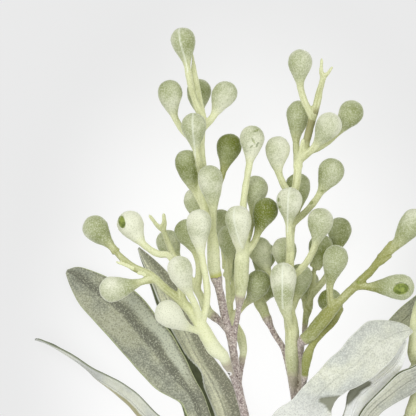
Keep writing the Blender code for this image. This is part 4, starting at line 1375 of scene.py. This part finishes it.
def tear_share(tear, places):
    """Each vertex's share of a tear, from straight above, once the tear is pushed in."""
    x, y = picture_place(tear.place)
    turned = math.radians(tear.turn)
    across = ((places[:, 0] - x) * math.cos(turned) + (places[:, 1] - y) * math.sin(turned))
    along = ((places[:, 1] - y) * math.cos(turned) - (places[:, 0] - x) * math.sin(turned))
    reach = np.hypot(across / tear.size[0], along / tear.size[1])
    top = places[reach < 1.2][:, 2].max() if (reach < 1.2).any() else 0.0
    return (1 - eased(reach, 0.85, 1.05)) * (places[:, 2] > top - 4.0)


def make_axis(sprig, number, start, heading, axis, skeleton):
    """The tube of a sprig's socket and axis, from before its mouth to its thinned tip."""
    length = route_length(axis)
    points = [start - heading * 1.8]
    radii = [sprig.socket_radius * sprig.mouth]
    for distance in steps(0.0, length, 1.0):
        point, ahead = at_distance(axis, distance)
        radius = axis_radius(sprig, distance, length) * wavering(distance, number * 3.0)
        radius *= 1 - (1 - sprig.tip) * float(eased(distance, length - TIP_LENGTH, length))
        points.append(point)
        radii.append(radius)
        socket = 1 - float(eased(distance / sprig.socket_length, 0.5, 0.9))
        tone = axis_tone(sprig, distance / length)
        skeleton.add(point, ahead, radius, tone, 1.0 - 0.35 * socket, distance)
    radii[-1] *= 0.6
    return tube(points, radii)


def seam_share(places, pods, unit):
    """Each vertex's share of a moulding seam, along the pods that have one."""
    seam = np.zeros(len(places))
    for pod, middle, pointing in pods:
        if pod.seam is None:
            continue
        facing = (UP - pointing * UP.dot(pointing)).normalized()
        facing.rotate(Quaternion(pointing, math.radians(pod.seam)))
        local = places - np.array(middle)
        beside = local @ np.array(pointing.cross(facing))
        over = local @ np.array(facing)
        along = local @ np.array(pointing)
        here = (over > 0.3) & (along > -2.6 * unit) & (np.linalg.norm(local, axis=1) < 2.7 * unit)
        seam = np.maximum(seam, np.exp(-(beside / 0.24) ** 2) * here)
    return seam


def streaks(from_line, headings, travelled):
    """Noise drawn out along the tubes, from each vertex's offset, heading and distance."""
    sides = from_line - headings * (from_line * headings).sum(1)[:, None]
    return [noise.noise(Vector(((side[0] + side[2]) * 1.3, (side[1] - side[2]) * 1.3,
                                distance * 0.09)))
            for side, distance in zip(sides, travelled)]


def make_sprig(sprig, number, sizes, ends, material):
    """A green sprig: its tubes fused, its socket's mouth cut open, its tears pushed in."""
    end, heading = ends[sprig.name]
    start = end + heading * SEAT_GAP
    axis = smooth_route((start, start + heading * 3.0, *sprig.axis))
    skeleton = Skeleton()
    parts = [make_axis(sprig, number, start, heading, axis, skeleton)]
    axis_points = len(skeleton.points)
    pods = []
    for pod in sprig.pods:
        part, middle, pointing = make_pod(axis, pod, sprig, sizes, skeleton)
        parts.append(part)
        pods.append((pod, middle, pointing))
    parts += [make_spur(axis, spur, sprig, skeleton) for spur in sprig.spurs]
    item = moulded(parts, sprig.name + "_flocked", sizes.grain / MM)
    mouth_point = start - heading * MOUTH_SINK
    cut_square(item, mouth_point, heading, sprig.socket_radius + 1.6)
    sink_mouth(item, mouth_point, heading)
    for tear in sprig.tears:
        tear_open(item, tear)
    mesh = item.data
    places = vertex_places(mesh)
    chosen = skeleton.nearest(places)
    tone, shaft, travelled = np.array(skeleton.rows)[chosen, 1:].T
    headings = np.array(skeleton.headings)[chosen]
    from_line = places - np.array(skeleton.points)[chosen]
    seam = seam_share(places, pods, sizes.pod_radius / MM)
    lumps = lumpy(places, (0.35, 0.16), (1.1, 0.06))
    places += vertex_normals(mesh) * (lumps + seam * 0.16)[:, None]
    places += fringe(places, mouth_point, heading, sprig)
    places[:, 2] = np.maximum(places[:, 2], 0.0)
    place_vertices(mesh, places)
    frayed = sprig.ragged > 0.4
    from_mouth = (places - np.array(mouth_point)) @ np.array(heading)
    near_mouth = np.linalg.norm(places - np.array(mouth_point), axis=1) < sprig.socket_radius + 3.0
    band = 2.3 if frayed else 0.35 * sprig.fade
    torn = np.zeros(len(places))
    glow = near_mouth * float(frayed)
    for tear in sprig.tears:
        inside = tear_share(tear, places)
        torn = np.maximum(torn, inside * min(0.45 + tear.depth, 1.0))
        glow = np.maximum(glow, inside * tear.glow)
    low, high = (eased(places[:, 1], level - 1.5, level + 1.5) for level in sprig.stain)
    write_attributes(mesh, tone=tone, shaft=shaft, streak=streaks(from_line, headings, travelled),
                     seam=seam, mouth=near_mouth * (1 - eased(from_mouth, 0.15, band + 0.5)),
                     stain=(chosen < axis_points) * low * (1 - high), tear=torn, glow=glow)
    settle(item, [material], "flock", sprig.name)


def fringe(places, mouth_point, heading, sprig):
    """How far each vertex near a socket's mouth moves, so that the rim is a little ragged."""
    local = places - np.array(mouth_point)
    from_mouth = local @ np.array(heading)
    side = np.array(heading.cross(UP).normalized())
    lift = np.array(heading.cross(UP).normalized().cross(heading))
    angle = np.arctan2(local @ lift, local @ side)
    wave = (np.sin(3 * angle + 1.0) + 0.8 * np.sin(7 * angle + 2.2) + 0.5 * np.sin(13 * angle))
    near = np.linalg.norm(local, axis=1) < sprig.socket_radius + 2.0
    reach = near * (1 - eased(np.abs(from_mouth), 0.0, 2.0))
    return np.array(heading)[None, :] * (wave * reach * sprig.ragged * 0.5)[:, None]


# Leaves

def leaf_half_width(share, half_width):
    """A blade's half width, with a blunt tip and a drawn-out base.

    It is widest past its middle, where it is 0.92 of the half width that is given.
    """
    outline = share ** 0.75 * (1 - share) ** 0.4 / OUTLINE_DIVISOR
    return max(half_width * outline, 1.1 if share < 0.5 else 0.25)


def leaf_spine(leaf, sizes):
    """A leaf's middle line, from its seat on the stem's side to its tip."""
    centre = at_level(smooth_route(named(STEMS, leaf.stem).route), leaf.level)[0]
    outward = Vector((leaf.side[0], 0, leaf.side[1])).normalized()
    seat = centre + outward * (sizes.stem_radius / MM + PETIOLE_RADIUS + SEAT_GAP)
    return smooth_route((seat, seat + outward * 2 + HEADWARD * 2, *leaf.route))


def blade_height(leaf, number, across, share, half):
    """A blade's height over its middle line: its fold, midrib, margins and ripples."""
    side = abs(across)
    fall = math.tan(math.radians(leaf.fold))
    height = -half * fall * side
    height -= 0.30 * math.exp(-(across / 0.05) ** 2)
    height += 0.22 * math.exp(-((side - 0.14) / 0.08) ** 2)
    rippling = noise.noise(Vector((share * 7.0, number * 5.0, math.copysign(2.0, across))))
    height += leaf.ripple * rippling * side ** 2 * 2.0
    height += 0.35 * noise.noise(Vector((across * 1.6, share * 9.0, number * 3.0)))
    height -= 0.5 * max(side - 0.86, 0.0) * half * 0.6
    turned = margin_width(leaf, share)
    if across < -1 + turned:
        height -= (-1 + turned - across) * half * 0.8
    return height


def margin_width(leaf, share):
    """How much of a blade's left side is turned down: less towards its tip."""
    at, more = leaf.bulge
    plain = leaf.margin * max(1.0 - share / leaf.margin_end, 0.0)
    return plain + more * math.exp(-((share - at) / BULGE_REACH) ** 2) * float(more > 0)


def blade_edges(leaf, spine):
    """The blade's two edges as the picture shows them, at the heights of its middle line."""
    routes = []
    for side in leaf.edges:
        points = []
        for place in side:
            rough = Vector(picture_place(place, LEAF_HEIGHT))
            height = min(spine, key=lambda point: (point.xy - rough).length).z
            points.append(Vector((*picture_place(place, height), height)))
        routes.append(smooth_route(points))
    return routes


def at_height(point, height):
    """The point at a height that the camera sees at the same place of the picture."""
    camera = Vector(CAMERA_PLACE)
    return camera + (point - camera) * ((camera.z - height) / (camera.z - point.z))


def blade_rows(leaf, spine, count):
    """For each row of a blade: its middle, the ways to its right and ahead, its half width."""
    blade_length = route_length(spine) - leaf.petiole
    rows = []
    edges = blade_edges(leaf, spine)
    lengths = [route_length(edge) for edge in edges]
    for step in range(count + 1):
        share = step / count
        middle, forward = at_distance(spine, leaf.petiole + blade_length * share)
        if edges:
            left, right = (at_distance(edge, length * share)[0]
                           for edge, length in zip(edges, lengths))
            seen = (right - left).length / 2
            if leaf.roll:
                whole = leaf_half_width(share, leaf.half_width)
                rise = math.sqrt(max(whole ** 2 - seen ** 2, 0.0)) * math.copysign(1, -leaf.roll)
                left = at_height(left, left.z - rise)
                right = at_height(right, right.z + rise)
            half = max((right - left).length / 2, 0.2)
            rows.append(((left + right) / 2, (right - left).normalized(), forward, half))
            continue
        side = forward.cross(UP).normalized()
        side.rotate(Quaternion(forward, math.radians(leaf.roll)))
        half = leaf_half_width(share, leaf.half_width)
        rows.append((middle, side, forward, half))
    return rows


def tuck_share(leaf, place):
    """How deep a place of a blade lies in one of its tucks, from 0 to 1."""
    deepest = 0.0
    for start, end, reach in leaf.tucks:
        first = Vector(picture_place(start, place.z))
        span = Vector(picture_place(end, place.z)) - first
        offset = place.xy - first
        nearest = min(max(offset.dot(span) / span.length_squared, 0.0), 1.0)
        away = (offset - span * nearest).length / (reach * MM_A_PIXEL)
        deepest = max(deepest, 1 - float(eased(away, 0.65, 1.0)))
    return deepest


def make_stalk(leaf, spine, materials):
    """A leaf's thin stalk, with the last of the materials, which runs on sunk in its blade."""
    walk = steps(0.0, leaf.petiole + 16.0, 0.8)
    radii = [PETIOLE_RADIUS * (1.0 - 0.75 * distance / walk[-1]) * (1 + 0.5 * math.exp(-distance))
             for distance in walk]
    points = []
    for distance in walk:
        point, forward = at_distance(spine, distance)
        sunk = 0.55 * float(eased(distance, leaf.petiole - 2.0, leaf.petiole + 3.0))
        points.append(point - forward.cross(UP).normalized().cross(forward) * sunk)
    stalk = tube(points, radii)
    stalk.data.materials.clear()
    for material in materials:
        stalk.data.materials.append(material)
    for face in stalk.data.polygons:
        face.material_index = len(materials) - 1
    write_attributes(stalk.data, tone=0.35, shaft=1.0)
    return stalk


def make_leaf(leaf, number, sizes, looks):
    """A leaf: a grid bent row by row to its blade's form, made thick, with its stalk."""
    spine = leaf_spine(leaf, sizes)
    count = round((route_length(spine) - leaf.petiole) / ROW_SPACING)
    bpy.ops.object.select_all(action="DESELECT")
    bpy.ops.mesh.primitive_grid_add(x_subdivisions=sizes.leaf_columns, y_subdivisions=count,
                                    size=2.0)
    item = bpy.context.object
    item.name = leaf.name + "_cloth"
    item.data.name = item.name
    rows = blade_rows(leaf, spine, count)
    margins = []
    tucked = []
    for vertex in item.data.vertices:
        across, share = vertex.co.x, (vertex.co.y + 1) / 2
        middle, side, forward, half = rows[round(share * count)]
        face = side.cross(forward).normalized()
        half *= 1 + 0.03 * noise.noise(Vector((share * 12, number, math.copysign(1, across))))
        turned = margin_width(leaf, share)
        margins.append(float(turned > 0) * (1 - float(eased(across, turned - 1.03, turned - 0.97))))
        spread = math.copysign(abs(across) ** 0.92, across)
        height = blade_height(leaf, number, spread, share, half) * min(1.0, half / 2.0)
        vertex.co = middle + side * half * spread + face * height
        tucked.append(tuck_share(leaf, vertex.co))
        vertex.co.z -= TUCK_DEPTH * tucked[-1]
    write_attributes(item.data, margin=margins, tuck=tucked)
    materials = (looks[leaf.cloth], looks["underside"], looks[CLOTHS[leaf.cloth].rim],
                 looks["stalk"])
    for material in materials:
        item.data.materials.append(material)
    modify(item, "SOLIDIFY", thickness=sizes.leaf_thickness / MM, offset=0.0,
           material_offset=1, material_offset_rim=2)
    item = joined([item, make_stalk(leaf, spine, materials)], item.name)
    settle(item, [], "leaf_cloth", leaf.name)


# Tie

def twine_route():
    """The twine's middle line: turns wound tight round the stems, each beside the last."""
    radius = TIE_INNER_RADIUS + TWINE_STANDOFF
    climb = (TWINE_TURNS - 1) * TWINE_WIDTH
    points = []
    for step in range(TWINE_TURNS * TURN_STEPS + 1):
        turn = step / TURN_STEPS
        angle = 2 * math.pi * turn + math.pi * 0.45
        level = TIE_LEVEL - climb / 2 + turn * climb / TWINE_TURNS
        points.append(Vector((TIE_MIDDLE[0] + radius * math.cos(angle), level,
                              max(TIE_MIDDLE[1] + radius * math.sin(angle), TWINE_LOWEST))))
    return points


def twisted(route, radius):
    """Strands laid round a line, as twine is twisted."""
    walk = steps(0.0, route_length(route), 0.45)
    centres = [at_distance(route, distance) for distance in walk]
    tubes = []
    for strand in range(TWINE_STRANDS):
        points = []
        for distance, (centre, heading) in zip(walk, centres):
            side = heading.cross(Vector((0.31, 0.9, 0.29))).normalized()
            lift = side.cross(heading)
            angle = 2 * math.pi * (distance / TWINE_PITCH + strand / TWINE_STRANDS)
            points.append(centre + (side * math.cos(angle) + lift * math.sin(angle)) * radius * 0.5)
        piece = tube(points, [radius * 0.54] * len(points), 2)
        write_attributes(piece.data, strand=strand / TWINE_STRANDS)
        tubes.append(piece)
    return tubes


def make_tie(sizes, material):
    """The twine's turns, with the two loose ends that cross in its knot."""
    radius = sizes.twine_radius / MM
    crest = TIE_MIDDLE[1] + TIE_INNER_RADIUS + 1.6
    over = smooth_route(((-9.5, -113, 12.2), (-1, -110, 14.6), (5.6, -108.6, crest + 0.4),
                         (8.4, -106.4, crest + 1.6), (9.6, -108.2, crest + 1.2),
                         (8.0, -109.2, crest - 0.2), (6.6, -106.2, crest - 0.2),
                         (9.2, -104.8, crest + 0.4), (10.6, -106.8, crest + 0.6)))
    under = smooth_route(((6.4, -104.6, crest - 0.6), (8.0, -106.4, crest + 0.9),
                          (9.4, -108.4, crest + 0.3), (12.0, -108.8, crest + 0.1),
                          (16.5, -110.5, 13.8), (21, -117, 9.5)))
    parts = [strand for route in (twine_route(), over, under) for strand in twisted(route, radius)]
    item = joined(parts, "twine_tie_wound")
    places = vertex_places(item.data)
    places[:, 2] = np.maximum(places[:, 2], 0.0)
    place_vertices(item.data, places)
    settle(item, [material], "twine", "twine_tie")


# Operators

class BUNDLE_OT_stems(Operator):
    """Make the three brown stems with their twigs"""
    bl_idname = "bundle.stems"
    bl_label = "Stems"

    def execute(self, context):
        sizes = context.scene.bundle_sizes
        material = flocked_bark(context.scene.bundle_colours)
        ends = twig_ends()
        for number, stem in enumerate(STEMS):
            make_stem(stem, number, sizes, ends, material)
        return {"FINISHED"}


class BUNDLE_OT_sprigs(Operator):
    """Make the green sprigs with their pods"""
    bl_idname = "bundle.sprigs"
    bl_label = "Sprigs"

    def execute(self, context):
        sizes = context.scene.bundle_sizes
        material = flocked_green(context.scene.bundle_colours)
        ends = twig_ends()
        for number, sprig in enumerate(SPRIGS):
            make_sprig(sprig, number, sizes, ends, material)
        return {"FINISHED"}


class BUNDLE_OT_leaves(Operator):
    """Make the long cloth leaves"""
    bl_idname = "bundle.leaves"
    bl_label = "Leaves"

    def execute(self, context):
        sizes = context.scene.bundle_sizes
        colours = context.scene.bundle_colours
        looks = {name: leaf_face(colours, name) for name in CLOTHS}
        looks["underside"] = leaf_underside(colours)
        looks["green rim"] = leaf_rim("leaf_rim_green", colours.leaf_edge)
        looks["pale rim"] = leaf_rim("leaf_rim_pale", colours.leaf_silver)
        looks["dark rim"] = leaf_rim("leaf_rim_dark", DARK_RIM)
        looks["stalk"] = bpy.data.materials.get("flocked_green") or flocked_green(colours)
        for number, leaf in enumerate(LEAVES):
            make_leaf(leaf, number, sizes, looks)
        return {"FINISHED"}


class BUNDLE_OT_tie(Operator):
    """Make the twisted twine tie"""
    bl_idname = "bundle.tie"
    bl_label = "Twine tie"

    def execute(self, context):
        make_tie(context.scene.bundle_sizes, jute(context.scene.bundle_colours))
        return {"FINISHED"}


class BUNDLE_OT_stage(Operator):
    """Make the pale floor, the soft lights and the camera"""
    bl_idname = "bundle.stage"
    bl_label = "Stage"

    def execute(self, context):
        bpy.ops.object.select_all(action="DESELECT")
        bpy.ops.mesh.primitive_plane_add(size=6.0, location=(0, 0, 0))
        floor = context.object
        floor.name = "floor"
        floor.data.materials.append(pale_floor(context.scene.bundle_colours))
        for name, place, power, size in (("key_light", (-0.75, 0.75, 1.5), 14.0, 1.4),
                                         ("fill_light", (0.9, -0.4, 1.4), 10.0, 1.6)):
            bpy.ops.object.light_add(type="AREA", location=place)
            light = context.object
            light.name = name
            light.data.energy = power
            light.data.size = size
            aim = Vector((0.0, 0.05, 0.0)) - light.location
            light.rotation_euler = aim.to_track_quat("-Z", "Y").to_euler()
        world = bpy.data.worlds.new("studio")
        world.use_nodes = True
        backdrop = world.node_tree.nodes["Background"]
        backdrop.inputs["Color"].default_value = (0.97, 0.985, 1.0, 1.0)
        backdrop.inputs["Strength"].default_value = 0.62
        context.scene.world = world
        context.scene.view_settings.view_transform = "Standard"
        bpy.ops.object.camera_add(location=(Vector(CAMERA_PLACE) - BOX_MIDDLE) * MM,
                                  rotation=(0, 0, 0))
        camera = context.object
        camera.name = "camera"
        camera.data.sensor_width = SENSOR_WIDTH
        camera.data.lens = CAMERA_LENS
        camera.data.clip_start = 0.05
        context.scene.camera = camera
        return {"FINISHED"}


class VIEW3D_PT_bundle(Panel):
    """The bundle's sizes, colours and makers"""
    bl_label = "Wattle bundle"
    bl_space_type = "VIEW_3D"
    bl_region_type = "UI"
    bl_category = "Bundle"

    def draw(self, context):
        column = self.layout.column(align=True)
        for maker in MAKERS:
            column.operator(maker.bl_idname)
        for group in (context.scene.bundle_sizes, context.scene.bundle_colours):
            for name in group.__annotations__:
                self.layout.prop(group, name)


MAKERS = (BUNDLE_OT_stems, BUNDLE_OT_sprigs, BUNDLE_OT_leaves, BUNDLE_OT_tie, BUNDLE_OT_stage)
CLASSES = (BundleSizes, BundleColours, *MAKERS, VIEW3D_PT_bundle)


def register():
    for made in CLASSES:
        bpy.utils.register_class(made)
    bpy.types.Scene.bundle_sizes = PointerProperty(type=BundleSizes)
    bpy.types.Scene.bundle_colours = PointerProperty(type=BundleColours)


def unregister():
    del bpy.types.Scene.bundle_colours
    del bpy.types.Scene.bundle_sizes
    for made in reversed(CLASSES):
        bpy.utils.unregister_class(made)


def main():
    register()
    bpy.ops.bundle.stems()
    bpy.ops.bundle.sprigs()
    bpy.ops.bundle.leaves()
    bpy.ops.bundle.tie()
    bpy.ops.bundle.stage()
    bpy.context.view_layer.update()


if __name__ == "__main__":
    main()
